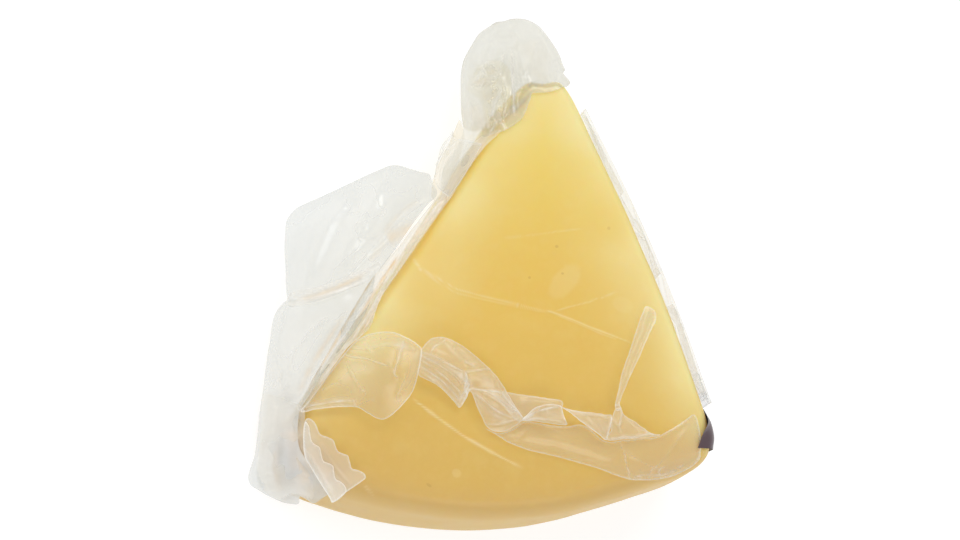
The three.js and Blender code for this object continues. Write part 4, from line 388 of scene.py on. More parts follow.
def wedge():
    ring = even(catmull(np.array(WEDGE), 1600, closed=True), 560, closed=True)
    xy, rind = ring[:, :2], np.clip(ring[:, 2], 0, 1)
    t = np.roll(xy, -1, 0) - np.roll(xy, 1, 0)
    inward = np.stack([-t[:, 1], t[:, 0]], 1)
    inward /= np.linalg.norm(inward, axis=1)[:, None]
    big = Noise(11)
    fine = Noise(12)
    loops = []
    # underside, from the middle out, then the side, then the upper face to the middle
    centre = np.array([2.0, -22.0])

    def profile(a):  # a runs 0..1 up the side; returns inset and height for a cut side and for the rind
        rb, rt = 1.6, 2.3  # corner radii of a cut side
        out = []
        for (b_in, b_up, t_in, t_up, belly) in ((rb, rb, rt, rt, 0.35), (5.4, 11.5, 4.4, 7.6, 0.5)):
            if a < 0.22:
                q = a / 0.22 * math.pi / 2
                ins, z = b_in * (1 - math.sin(q)), Z0 + b_up * (1 - math.cos(q))
            elif a > 0.70:
                q = (a - 0.70) / 0.30 * math.pi / 2
                ins, z = t_in * (1 - math.cos(q)), Z1 - t_up * (1 - math.sin(q))
            else:
                f = (a - 0.22) / 0.48
                ins, z = 0.0, (Z0 + b_up) + f * ((Z1 - t_up) - (Z0 + b_up))
            ins -= belly * math.sin(math.pi * min(max((z - Z0) / (Z1 - Z0), 0), 1))
            out.append((ins, z))
        return out

    UNDER, SIDE, TOP = 10, 44, 118
    for i in range(UNDER):
        s = (i + 1) / (UNDER + 1)
        (c_in, c_z), (r_in, r_z) = profile(0.0)
        ins = c_in + (r_in - c_in) * rind
        edge = xy + inward * ins[:, None]
        loops.append(np.c_[centre + (edge - centre) * s, np.full(len(xy), Z0)])
    for i in range(SIDE + 1):
        (c_in, c_z), (r_in, r_z) = profile(i / SIDE)
        ins = c_in + (r_in - c_in) * rind
        z = c_z + (r_z - c_z) * rind
        loops.append(np.c_[xy + inward * ins[:, None], z])
    edge = loops[-1][:, :2]
    for i in range(1, TOP):
        s = 1 - i / TOP
        s = s**0.94
        loops.append(np.c_[centre + (edge - centre) * s, np.full(len(xy), Z1)])
    v = np.vstack(loops)
    n = len(xy)
    m = len(loops)
    faces = []
    idx = np.arange(n)
    nxt = (idx + 1) % n
    for k in range(m - 1):
        faces += list(np.stack([k * n + idx, k * n + nxt, (k + 1) * n + nxt, (k + 1) * n + idx], 1))
    low, high = len(v), len(v) + 1
    v = np.vstack([v, [centre[0], centre[1], Z0], [centre[0], centre[1], Z1]])
    faces = [tuple(f) for f in faces]
    faces += [(low, b, a) for a, b in zip(idx, nxt)]
    top0 = (m - 1) * n
    faces += [(high, top0 + a, top0 + b) for a, b in zip(idx, nxt)]
    # soft, hand-cut unevenness
    x, y, z = v.T
    up = smoothstep(Z1 - 3.0, Z1 - 0.2, z)
    side = (1 - up) * smoothstep(Z0 + 0.3, Z0 + 4, z)
    cx, cy = x - centre[0], y - centre[1]
    r = np.hypot(cx, cy) + 1e-6
    wob = 0.30 * big(x / 26, y / 26, z / 26 + 3) + 0.08 * fine(x / 6, y / 6, z / 6)
    v[:, 0] += side * wob * cx / r
    v[:, 1] += side * wob * cy / r
    dz = 0.22 * big(x / 30 + 5, y / 30, 1.7) + 0.035 * fine(x / 7, y / 7, 4.2)
    # pressed lines: low ridges in the upper face, and a painted highlight along them
    line = np.zeros(len(v))
    for pts, width, height, pale in LINES:
        d, along = seg_distance(x, y, pts)
        fade = smoothstep(0, 0.12, along) * (1 - smoothstep(0.86, 1.0, along))
        wob_w = width * (0.75 + 0.35 * fine(x / 3, y / 3, 9.1))
        ridge = np.exp(-((d / wob_w) ** 2)) * fade
        dz += height * ridge * up
        line = np.maximum(line, pale * ridge * up)
    v[:, 2] += up * dz
    v[:, 2] = np.minimum(v[:, 2], Z1 + 0.45)
    v[:, :3] = place("cheese", v + SHIFT) * MM
    ob = mesh_object("cheese", v, faces)
    paint(ob, "line", line)
    x, y = v[:, 0] / MM - SHIFT[0], v[:, 1] / MM - SHIFT[1]
    far = depth_inside(x, y)
    # painted light: the cut faces are painted paler near their thin edges and over the tip, standing in for light
    # shining through the thin paste; less of it towards the rind, and the outermost millimetres are kept deeper, widest
    # along the left edge, as a painted shade line
    cut = np.zeros(len(v))
    cut[: m * n] = 1 - np.tile(rind, m)
    f = np.maximum(far, 0)
    rim = (0.25 * np.exp(-f / 1.6) + 0.95 * np.exp(-((f / 11.5) ** 1.5))) * cut
    rim = rim * (0.30 + 0.70 * smoothstep(0.2, np.where(x < 0.2 * y - 2, 3.0, 1.2), f))
    rim = rim * (0.82 + 0.4 * big(x / 12 + 2, y / 12, 6.1)) * (0.45 + 0.55 * smoothstep(-52, -26, y))
    rim = np.maximum(rim, 0.62 * smoothstep(26, 46, y))
    paint(ob, "rim", np.clip(rim, 0, 1))
    rindmask = np.zeros(len(v))
    rr = np.tile(rind, m)
    rindmask[: m * n] = rr
    zz = v[:, 2] / MM
    paint(ob, "rind", rindmask * np.where(zz > Z0 + 0.5, 1 - smoothstep(0.5, 9.0, f), 1.0))
    return ob


# ------------------------------------------------------------------------------------------------ film sheets
def folds(U, V, seed, n, amp, wmin, wmax, angle=0.0, spread=math.pi, longer=(3, 8), both=True):
    """Sharp-ridged creases of limited length, as crumpled film has: height in millimetres over the flat sheet."""
    r = np.random.RandomState(seed)
    h = np.zeros(U.shape)
    u0, u1, v0, v1 = U.min(), U.max(), V.min(), V.max()
    for k in range(n):
        th = angle + r.uniform(-spread, spread) * 0.5
        cx, cy = r.uniform(u0, u1), r.uniform(v0, v1)
        w = math.exp(r.uniform(math.log(wmin), math.log(wmax)))
        L = w * r.uniform(*longer)
        c, s = math.cos(th), math.sin(th)
        e = (U - cx) * c + (V - cy) * s  # along the crease
        d = -(U - cx) * s + (V - cy) * c  # across it
        d = d + 0.10 * L * np.sin(e / L * r.uniform(0.6, 1.6) + r.uniform(0, 6))
        skew = r.uniform(0.35, 0.9)
        wl, wr = w * skew, w * (1.25 - skew)
        prof = np.where(d < 0, np.clip(1 + d / wl, 0, 1), np.clip(1 - d / wr, 0, 1))
        env = np.clip(1 - np.abs(e) / L, 0, 1)
        env = env * env * (3 - 2 * env)
        sign = (1 if r.rand() < 0.5 else -1) if both else 1
        h += sign * amp * (w / wmax) * prof * env
    return h


def upsample(rows, nu, nv):
    rows = np.asarray(rows, float)
    a = np.stack([catmull(r, nv) for r in rows])  # across
    return np.stack([catmull(a[:, j], nu) for j in range(a.shape[1])], 1)


def grid_normals(P):
    du = np.gradient(P, axis=0)
    dv = np.gradient(P, axis=1)
    n = np.cross(du, dv)
    return n / (np.linalg.norm(n, axis=2)[:, :, None] + 1e-12)


def flat_uv(P):
    """Roughly how far, in millimetres, each point of the grid is along the flat sheet."""
    du = np.linalg.norm(np.diff(P, axis=0), axis=2)
    dv = np.linalg.norm(np.diff(P, axis=1), axis=2)
    U = np.zeros(P.shape[:2])
    V = np.zeros(P.shape[:2])
    U[1:] = np.cumsum(du.mean(1))[:, None]
    V[:, 1:] = np.cumsum(dv.mean(0))[None, :]
    return U, V


def crease_mask(P, gain=1.0):
    n = grid_normals(P)
    a = np.zeros(P.shape[:2])
    b = 1 - np.sum(n[1:] * n[:-1], 2)
    c = 1 - np.sum(n[:, 1:] * n[:, :-1], 2)
    a[1:] = np.maximum(a[1:], b)
    a[:-1] = np.maximum(a[:-1], b)
    a[:, 1:] = np.maximum(a[:, 1:], c)
    a[:, :-1] = np.maximum(a[:, :-1], c)
    return np.clip(gain * np.sqrt(a) * 1.6, 0, 1)


def edge_mask(P, width=0.5, sides="udlr"):
    """1 at the sheet's free edges, falling to 0 within width millimetres."""
    U, V = flat_uv(P)
    d = np.full(U.shape, 1e9)
    if "u" in sides:
        d = np.minimum(d, U)
    if "d" in sides:
        d = np.minimum(d, U.max(0)[None] - U)
    if "l" in sides:
        d = np.minimum(d, V)
    if "r" in sides:
        d = np.minimum(d, V.max() - V)
    return np.clip(1 - d / width, 0, 1)


def grid_object(name, P, closed_v=False, cap=None, keep=None):
    """A sheet of quads from a grid of points in millimetres; keep is a mask of the quads that stay."""
    m, n = P.shape[:2]
    v = ((P + SHIFT).reshape(-1, 3)) * MM
    I = np.arange(m * n).reshape(m, n)
    if closed_v:
        I = np.concatenate([I, I[:, :1]], 1)
    q = np.stack([I[:-1, :-1], I[1:, :-1], I[1:, 1:], I[:-1, 1:]], 2)
    if keep is not None:
        q = q[keep]
    q = q.reshape(-1, 4)
    faces = [tuple(f) for f in q]
    if cap is not None:
        v = np.vstack([v, (np.asarray(cap) + SHIFT) * MM])
        last = I[-1]
        faces += [(last[j], last[j + 1], len(v) - 1) for j in range(len(last) - 1)]
    return mesh_object(name, v, faces)


def sheet_area(P):
    a = np.linalg.norm(np.cross(P[1:, :-1] - P[:-1, :-1], P[:-1, 1:] - P[:-1, :-1]), axis=2).sum()
    b = np.linalg.norm(np.cross(P[1:, :-1] - P[1:, 1:], P[:-1, 1:] - P[1:, 1:]), axis=2).sum()
    return (a + b) / 2


def thin_plate(points, values, x, y, smooth=0.02):
    """A smooth surface through scattered heights."""
    p = np.asarray(points, float)
    n = len(p)

    def kern(r2):
        return np.where(r2 > 1e-9, r2 * np.log(np.maximum(r2, 1e-9)), 0.0)

    r2 = ((p[:, None] - p[None]) ** 2).sum(2)
    A = np.zeros((n + 3, n + 3))
    A[:n, :n] = kern(r2) + smooth * np.eye(n) * 100
    A[:n, n] = A[n, :n] = 1
    A[:n, n + 1 :] = p
    A[n + 1 :, :n] = p.T
    w = np.linalg.solve(A, np.r_[np.asarray(values, float), 0, 0, 0])
    out = w[n] + w[n + 1] * x + w[n + 2] * y
    for k in range(n):
        out = out + w[k] * kern((x - p[k, 0]) ** 2 + (y - p[k, 1]) ** 2)
    return out


RING = even(catmull(np.array(WEDGE)[:, :2], 900, closed=True), 220, closed=True)


def depth_inside(x, y):
    """How far each x, y is inside the wedge's outline (negative outside), in millimetres."""
    a, b = RING, np.roll(RING, -1, 0)
    best = np.full(x.shape, 1e9)
    odd = np.zeros(x.shape, bool)
    for (ax, ay), (bx, by) in zip(a, b):
        dx, dy = bx - ax, by - ay
        t = np.clip(((x - ax) * dx + (y - ay) * dy) / (dx * dx + dy * dy), 0, 1)
        best = np.minimum(best, (x - ax - t * dx) ** 2 + (y - ay - t * dy) ** 2)
        hit = ((ay > y) != (by > y)) & (x < (bx - ax) * (y - ay) / (by - ay + 1e-12) + ax)
        odd ^= hit
    return np.where(odd, 1, -1) * np.sqrt(best)


def on_sight(x, y, z):
    """The point at height z that lies behind the plan point x, y (given on the level z = 36) along the line of sight."""
    t = ((EYE[2] - z) / (EYE[2] - 36.0))[:, None]
    return EYE + (np.c_[x, y, np.full(len(x), 36.0)] - EYE) * t


def clear_of_cheese(x, y, z, gap=0.28):
    for _ in range(3):
        P = on_sight(x, y, z)
        d = depth_inside(P[:, 0], P[:, 1])
        r = 2.4
        q = np.clip(r - d, 0, r)
        need = 36.05 + gap - (r - np.sqrt(np.maximum(r * r - q * q, 0)))
        z = np.where(d > 0, np.maximum(z, need), z)
    return z


def lift_off(x, y, z, gap):
    """The least height at x, y that clears the upper face of the cheese and its rounded edge."""
    d = depth_inside(x, y)
    r = 2.4
    q = np.clip(r - d, 0, r)
    return np.where(d > 0, np.maximum(z, 36.05 + gap - (r - np.sqrt(np.maximum(r * r - q * q, 0)))), z)


def patch(name, outline, z, lines=(), step=0.5, seed=1, soft=0.22, soft_size=7.0, small=0.05, small_size=2.4, folds_n=0, folds_amp=0.5, folds_w=(1.5, 5.0),
          pin=1.2, edge=0.42, over=0.28, held="draped", rests=("cheese_wedge",), replaces=(), slot="clear_film", wiggle=0.05, lift=0.0, floor=0.3, tones=(), warm=(), rim_milk=1.0):
    """A sheet of film with its real outline: fine even triangles, broad soft waves, and its own creases."""
    from mathutils.geometry import delaunay_2d_cdt

    ring = catmull(np.array(outline, float), len(outline) * 24, closed=True)
    per = np.linalg.norm(np.diff(np.vstack([ring, ring[:1]]), axis=0), axis=1).sum()
    nb = max(int(per / step), 24)
    ring = even(ring, nb, closed=True)
    nz = Noise(seed + 300)
    if wiggle:
        t = np.roll(ring, -1, 0) - np.roll(ring, 1, 0)
        nn = np.stack([t[:, 1], -t[:, 0]], 1)
        nn /= np.linalg.norm(nn, axis=1)[:, None] + 1e-9
        ring = ring + nn * (wiggle * nz(ring[:, 0] / 1.1, ring[:, 1] / 1.1, 5.0))[:, None]
    lo, hi = ring.min(0) - step, ring.max(0) + step
    gy = np.arange(lo[1], hi[1], step * 0.866)
    pts = []
    for i, yy in enumerate(gy):
        xx = np.arange(lo[0] + (i % 2) * step / 2, hi[0], step)
        pts.append(np.c_[xx, np.full(len(xx), yy)])
    pts = np.vstack(pts)
    a, b = ring, np.roll(ring, -1, 0)
    best = np.full(len(pts), 1e9)
    odd = np.zeros(len(pts), bool)
    x, y = pts.T
    for (ax, ay), (bx, by) in zip(a, b):
        dx, dy = bx - ax, by - ay
        tt = np.clip(((x - ax) * dx + (y - ay) * dy) / (dx * dx + dy * dy + 1e-12), 0, 1)
        best = np.minimum(best, (x - ax - tt * dx) ** 2 + (y - ay - tt * dy) ** 2)
        odd ^= ((ay > y) != (by > y)) & (x < (bx - ax) * (y - ay) / (by - ay + 1e-12) + ax)
    best = np.sqrt(best)
    keep = odd & (best > 0.55 * step)
    inner, dist = pts[keep], best[keep]
    allp = np.vstack([ring, inner])
    rim = np.r_[np.zeros(len(ring)), dist]
    v, _, tri, *_rest = delaunay_2d_cdt([Vector((p[0], p[1])) for p in allp], [(i, (i + 1) % nb) for i in range(nb)], [], 1, 1e-6, True)
    orig = _rest[0]
    v = np.array([(p.x, p.y) for p in v])
    rim = np.array([min((rim[i] for i in o), default=0.0) for o in orig])
    x, y = v.T
    cz = np.array(z, float)
    h = thin_plate(cz[:, :2], cz[:, 2], x, y) + lift
    pinf = smoothstep(0, pin, rim) if pin else 1.0
    wav = soft * nz(x / soft_size, y / soft_size, 0.3) + small * nz(x / small_size, y / small_size, 7.3)
    if folds_n:
        wav = wav + folds(x, y, seed + 50, folds_n, folds_amp, *folds_w)
    h = h + wav * pinf
    # milk: painted whiteness along the fold lines and in the wide tone bands, partly the whitening and added haze of
    # creased and overlapping film, partly painted highlight and shade
    milk = np.zeros(len(v))
    warp = 0.25 * np.stack([nz(x / 3.1, y / 3.1, 11.0), nz(x / 3.1, y / 3.1, 14.0)])
    for pts_l, width, height, m in lines:
        p = catmull(np.array(pts_l, float), len(pts_l) * 8)
        d, along = seg_distance(x + warp[0] * min(width, 1), y + warp[1] * min(width, 1), p)
        fade = smoothstep(0, 0.10, along) * (1 - smoothstep(0.84, 1.0, along))
        fade = np.maximum(fade, 0.35 * (along > 0) * (along < 1))
        wl = width * (0.8 + 0.35 * nz(x / 2.6, y / 2.6, 3.0))
        prof = np.exp(-((d / wl) ** 2)) if width >= 0.9 else np.clip(1 - d / (wl * 1.5), 0, 1)
        h = h + height * prof * fade * (0.5 + 0.5 * pinf)
        thin = np.exp(-((d / min(max(0.24, 0.42 * width), 0.6)) ** 2))
        milk = np.maximum(milk, m * thin * fade * (0.75 + 0.5 * nz(x / 1.7, y / 1.7, 21.0)))
    # tones: wide bands of added haze, partly where folded layers overlap, partly painted light and shade
    for pts_l, width, amount in tones:
        d, along = seg_distance(x, y, catmull(np.array(pts_l, float), len(pts_l) * 8))
        milk = milk + amount * np.exp(-((d / width) ** 2)) * (0.8 + 0.35 * nz(x / 3.3, y / 3.3, 25.0))
    # warm: painted light, the film tinted towards the cheese's colour where light from the cheese shines through and
    # off it
    heat = np.zeros(len(v))
    for pts_l, width, amount in warm:
        d, along = seg_distance(x, y, catmull(np.array(pts_l, float), len(pts_l) * 8))
        fade = smoothstep(0, 0.12, along) * (1 - smoothstep(0.86, 1.0, along)) * 0.8 + 0.2
        heat = np.maximum(heat, amount * fade * np.exp(-((d / width) ** 2)) * (0.85 + 0.3 * nz(x / 2.4, y / 2.4, 28.0)))
    h = clear_of_cheese(x, y, h, over)
    P = place(name, on_sight(x, y, np.maximum(h, floor)) + SHIFT) - SHIFT
    P[:, 2] = lift_off(P[:, 0], P[:, 1], np.maximum(P[:, 2], floor), over)
    T = np.array([t for t in tri if len(t) == 3])
    mid = v[T].mean(1)
    odd = np.zeros(len(mid), bool)
    for (ax, ay), (bx, by) in zip(ring, np.roll(ring, -1, 0)):
        odd ^= ((ay > mid[:, 1]) != (by > mid[:, 1])) & (mid[:, 0] < (bx - ax) * (mid[:, 1] - ay) / (by - ay + 1e-12) + ax)
    T = T[odd]
    used = np.unique(T)
    back = np.full(len(v), -1)
    back[used] = np.arange(len(used))
    T = back[T]
    P, v, rim, milk, heat = P[used], v[used], rim[used], milk[used], heat[used]
    tri = [tuple(t) for t in T]
    ob = mesh_object(name, (P + SHIFT) * MM, tri)
    # the milk painted here is partly real whitening, partly painted highlight along folds and edges; the warm tint is
    # painted cheese-coloured light
    paint(ob, "crease", np.clip(milk, 0, 1))
    paint(ob, "edge", rim_milk * np.clip(1 - rim / edge, 0, 1))
    paint(ob, "warm", np.clip(heat, 0, 1))
    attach(ob, "root")
    if replaces:
        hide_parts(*replaces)
    A = np.linalg.norm(np.cross(P[T[:, 1]] - P[T[:, 0]], P[T[:, 2]] - P[T[:, 0]]), axis=1).sum() / 2
    a2, b2 = v[T[:, 1]] - v[T[:, 0]], v[T[:, 2]] - v[T[:, 0]]
    plan = np.abs(a2[:, 0] * b2[:, 1] - a2[:, 1] * b2[:, 0]).sum() / 2
    q = v - v.mean(0)
    ax = np.linalg.svd(q, full_matrices=False)[2]
    ext = np.ptp(q @ ax.T, axis=0) * math.sqrt(max(A / plan, 1))
    w, l = max(min(ext) * MM, 0.0101), max(max(ext) * MM, 0.0101)
    A *= MM * MM
    if A > w * l:
        w = A / l * 1.02
    return ob


def film(name, rows, step=0.55, crumple=None, offset=None, gain=1.0, edge=0.5, sides="udlr", replaces=(), floor=0.25):
    rows = np.asarray(rows, float)
    du = np.linalg.norm(np.diff(rows, axis=0), axis=2).sum(0).max()
    dv = np.linalg.norm(np.diff(rows, axis=1), axis=2).sum(1).max()
    P = upsample(rows, max(int(du / step), 6), max(int(dv / step), 6))
    base_area = sheet_area(P)
    U, V = flat_uv(P)
    if crumple is not None:
        h = crumple(U, V, P)
        P = P + grid_normals(P) * h[:, :, None]
    if offset is not None:
        P = P + offset(U, V, P)
    if name in PLACE:
        P = place(name, P)
    P[:, :, 2] = np.maximum(P[:, :, 2], floor)
    ob = grid_object(name, P)
    # milkier where the sheet bends sharply and along its free edges: partly real whitening, partly painted highlight
    paint(ob, "crease", crease_mask(P, gain).reshape(-1))
    paint(ob, "edge", edge_mask(P, edge, sides).reshape(-1))
    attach(ob, "root")
    if replaces:
        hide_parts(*replaces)
    return ob


# ------------------------------------------------------------------------------------------------ materials
def new_material(name):
    m = bpy.data.materials.new(name)
    m.use_nodes = True
    nt = m.node_tree
    nt.nodes.clear()
    return m, nt


def node(nt, kind, **inputs):
    n = nt.nodes.new(kind)
    for k, v in inputs.items():
        key = k.replace("_", " ")
        if key in n.inputs:
            n.inputs[key].default_value = v
        else:
            setattr(n, k, v)
    return n


def link(nt, a, b):
    nt.links.new(a, b)


def mathn(nt, op, a, b=None, c=None, clamp=False):
    n = nt.nodes.new("ShaderNodeMath")
    n.operation = op
    n.use_clamp = clamp
    for i, x in enumerate((a, b, c)):
        if x is None:
            continue
        if hasattr(x, "links") or hasattr(x, "is_linked"):
            nt.links.new(x, n.inputs[i])
        else:
            n.inputs[i].default_value = x
    return n.outputs[0]


def mix_colour(nt, fac, a, b, blend="MIX"):
    n = nt.nodes.new("ShaderNodeMix")
    n.data_type = "RGBA"
    n.blend_type = blend
    n.clamp_factor = True
    for sock, x in ((n.inputs[0], fac), (n.inputs[6], a), (n.inputs[7], b)):
        if hasattr(x, "is_linked"):
            nt.links.new(x, sock)
        elif isinstance(x, (tuple, list)):
            sock.default_value = (*x[:3], 1.0)
        else:
            sock.default_value = x
    return n.outputs[2]


def ramp(nt, fac, stops):
    n = nt.nodes.new("ShaderNodeValToRGB")
    el = n.color_ramp.elements
    el[0].position, el[0].color = stops[0][0], (*stops[0][1], 1)
    el[1].position, el[1].color = stops[-1][0], (*stops[-1][1], 1)
    for p, c in stops[1:-1]:
        e = el.new(p)
        e.color = (*c, 1)
    if hasattr(fac, "is_linked"):
        nt.links.new(fac, n.inputs[0])
    return n.outputs[0]


def srgb(r, g, b):
    f = lambda c: (c / 255 / 12.92) if c / 255 <= 0.04045 else ((c / 255 + 0.055) / 1.055) ** 2.4
    return (f(r), f(g), f(b))


def cheese_material():
    m, nt = new_material("cheese")
    out = node(nt, "ShaderNodeOutputMaterial")
    tc = node(nt, "ShaderNodeTexCoord")
    sep = node(nt, "ShaderNodeSeparateXYZ")
    link(nt, tc.outputs["Object"], sep.inputs[0])
    X, Y, Z = sep.outputs
    # the paste is paler towards the tip and the thin edges, deeper towards the rind: partly its own tone, partly
    # painted shade, the face painted darker towards the bottom as the light falls off away from the tip
    t = mathn(nt, "MULTIPLY_ADD", Y, -8.6, 0.40, clamp=True)
    big = node(nt, "ShaderNodeTexNoise", Scale=28.0, Detail=3.0, Roughness=0.5)
    link(nt, tc.outputs["Object"], big.inputs["Vector"])
    wob = mathn(nt, "MULTIPLY_ADD", big.outputs["Fac"], 0.26, -0.13)
    t = mathn(nt, "ADD", t, wob, clamp=True)
    base = ramp(nt, t, [(0.0, CHEESE_TIP), (0.45, CHEESE_MID), (1.0, CHEESE_LOW)])
    # mottling, small and weak
    mot = node(nt, "ShaderNodeTexNoise", Scale=140.0, Detail=6.0, Roughness=0.6)
    link(nt, tc.outputs["Object"], mot.inputs["Vector"])
    mm = mathn(nt, "MULTIPLY_ADD", mot.outputs["Fac"], 0.7, -0.35)
    mm = mathn(nt, "ABSOLUTE", mm)
    base = mix_colour(nt, mm, base, CHEESE_PALE)
    # rind: a little browner and deeper
    ra = node(nt, "ShaderNodeAttribute")
    ra.attribute_name = "rind"
    rn = node(nt, "ShaderNodeTexNoise", Scale=60.0, Detail=5.0, Roughness=0.65)
    link(nt, tc.outputs["Object"], rn.inputs["Vector"])
    rf = mathn(nt, "MULTIPLY_ADD", rn.outputs["Fac"], 0.5, 0.45)
    rf = mathn(nt, "MULTIPLY", rf, ra.outputs["Fac"], clamp=True)
    base = mix_colour(nt, rf, base, CHEESE_RIND)
    # painted light: the thin cut edges and the tip are painted paler, standing in for light that shines in through them
    ea = node(nt, "ShaderNodeAttribute")
    ea.attribute_name = "rim"
    en = mathn(nt, "MULTIPLY_ADD", mot.outputs["Fac"], 0.30, 0.85)
    ef = mathn(nt, "MULTIPLY", ea.outputs["Fac"], en, clamp=True)
    base = mix_colour(nt, ef, base, CHEESE_EDGE_GLOW)
    # pressed lines: painted paler, a painted highlight along the low ridges pressed into the face
    la = node(nt, "ShaderNodeAttribute")
    la.attribute_name = "line"
    base = mix_colour(nt, la.outputs["Fac"], base, (0.93, 0.80, 0.50))
    # faint pale oval patches with a soft edge, and tiny dark specks
    for (px, py, rx, ry, rot, fac, col) in OVALS_AND_SPECKS:
        sub = node(nt, "ShaderNodeVectorMath", operation="SUBTRACT")
        link(nt, tc.outputs["Object"], sub.inputs[0])
        sub.inputs[1].default_value = (px, py, 0.0)
        rotn = node(nt, "ShaderNodeVectorRotate", rotation_type="Z_AXIS")
        rotn.inputs["Angle"].default_value = rot
        link(nt, sub.outputs[0], rotn.inputs["Vector"])
        mul = node(nt, "ShaderNodeVectorMath", operation="MULTIPLY")
        link(nt, rotn.outputs[0], mul.inputs[0])
        mul.inputs[1].default_value = (1 / rx, 1 / ry, 0.0)
        ln = node(nt, "ShaderNodeVectorMath", operation="LENGTH")
        link(nt, mul.outputs[0], ln.inputs[0])
        edge_n = mathn(nt, "MULTIPLY_ADD", mot.outputs["Fac"], 0.5, -0.25)
        d = mathn(nt, "ADD", ln.outputs["Value"], edge_n)
        mr = node(nt, "ShaderNodeMapRange", interpolation_type="SMOOTHSTEP")
        link(nt, d, mr.inputs["Value"])
        mr.inputs["From Min"].default_value = 0.75
        mr.inputs["From Max"].default_value = 1.15
        mr.inputs["To Min"].default_value = fac
        mr.inputs["To Max"].default_value = 0.0
        up = mathn(nt, "GREATER_THAN", Z, 0.034)
        f = mathn(nt, "MULTIPLY", mr.outputs[0], up)
        base = mix_colour(nt, f, base, col)
    vor = node(nt, "ShaderNodeTexVoronoi", Scale=95.0)
    vor.feature = "F1"
    link(nt, tc.outputs["Object"], vor.inputs["Vector"])
    dot = mathn(nt, "LESS_THAN", vor.outputs["Distance"], 0.028)
    sepc = node(nt, "ShaderNodeSeparateColor")
    link(nt, vor.outputs["Color"], sepc.inputs[0])
    rare = mathn(nt, "GREATER_THAN", sepc.outputs[0], 0.72)
    dot = mathn(nt, "MULTIPLY", dot, rare)
    dot = mathn(nt, "MULTIPLY", dot, 0.5)
    base = mix_colour(nt, dot, base, (0.35, 0.17, 0.04))

    p = node(nt, "ShaderNodeBsdfPrincipled")
    link(nt, base, p.inputs["Base Color"])
    p.inputs["Subsurface Weight"].default_value = 0.55
    p.inputs["Subsurface Radius"].default_value = (1.0, 0.62, 0.22)
    p.inputs["Subsurface Scale"].default_value = 0.006
    p.inputs["Specular IOR Level"].default_value = 0.42
    p.inputs["IOR"].default_value = 1.45
    rg = node(nt, "ShaderNodeTexNoise", Scale=90.0, Detail=4.0)
    link(nt, tc.outputs["Object"], rg.inputs["Vector"])
    rough = mathn(nt, "MULTIPLY_ADD", rg.outputs["Fac"], 0.16, 0.40)
    link(nt, rough, p.inputs["Roughness"])
    # fine surface: a waxy skin with very small pits and faint cutting drag
    b1 = node(nt, "ShaderNodeTexNoise", Scale=420.0, Detail=5.0, Roughness=0.6)
    link(nt, tc.outputs["Object"], b1.inputs["Vector"])
    mp = node(nt, "ShaderNodeMapping")
    mp.inputs["Scale"].default_value = (900.0, 60.0, 60.0)
    mp.inputs["Rotation"].default_value = (0, 0, 0.35)
    link(nt, tc.outputs["Object"], mp.inputs["Vector"])
    b2 = node(nt, "ShaderNodeTexNoise", Scale=1.0, Detail=2.0)
    link(nt, mp.outputs[0], b2.inputs["Vector"])
    h = mathn(nt, "MULTIPLY_ADD", b2.outputs["Fac"], 0.35, 0.0)
    h = mathn(nt, "ADD", h, b1.outputs["Fac"])
    bump = node(nt, "ShaderNodeBump", Strength=0.10, Distance=0.0004)
    link(nt, h, bump.inputs["Height"])
    link(nt, bump.outputs[0], p.inputs["Normal"])
    link(nt, p.outputs[0], out.inputs[0])
    return m


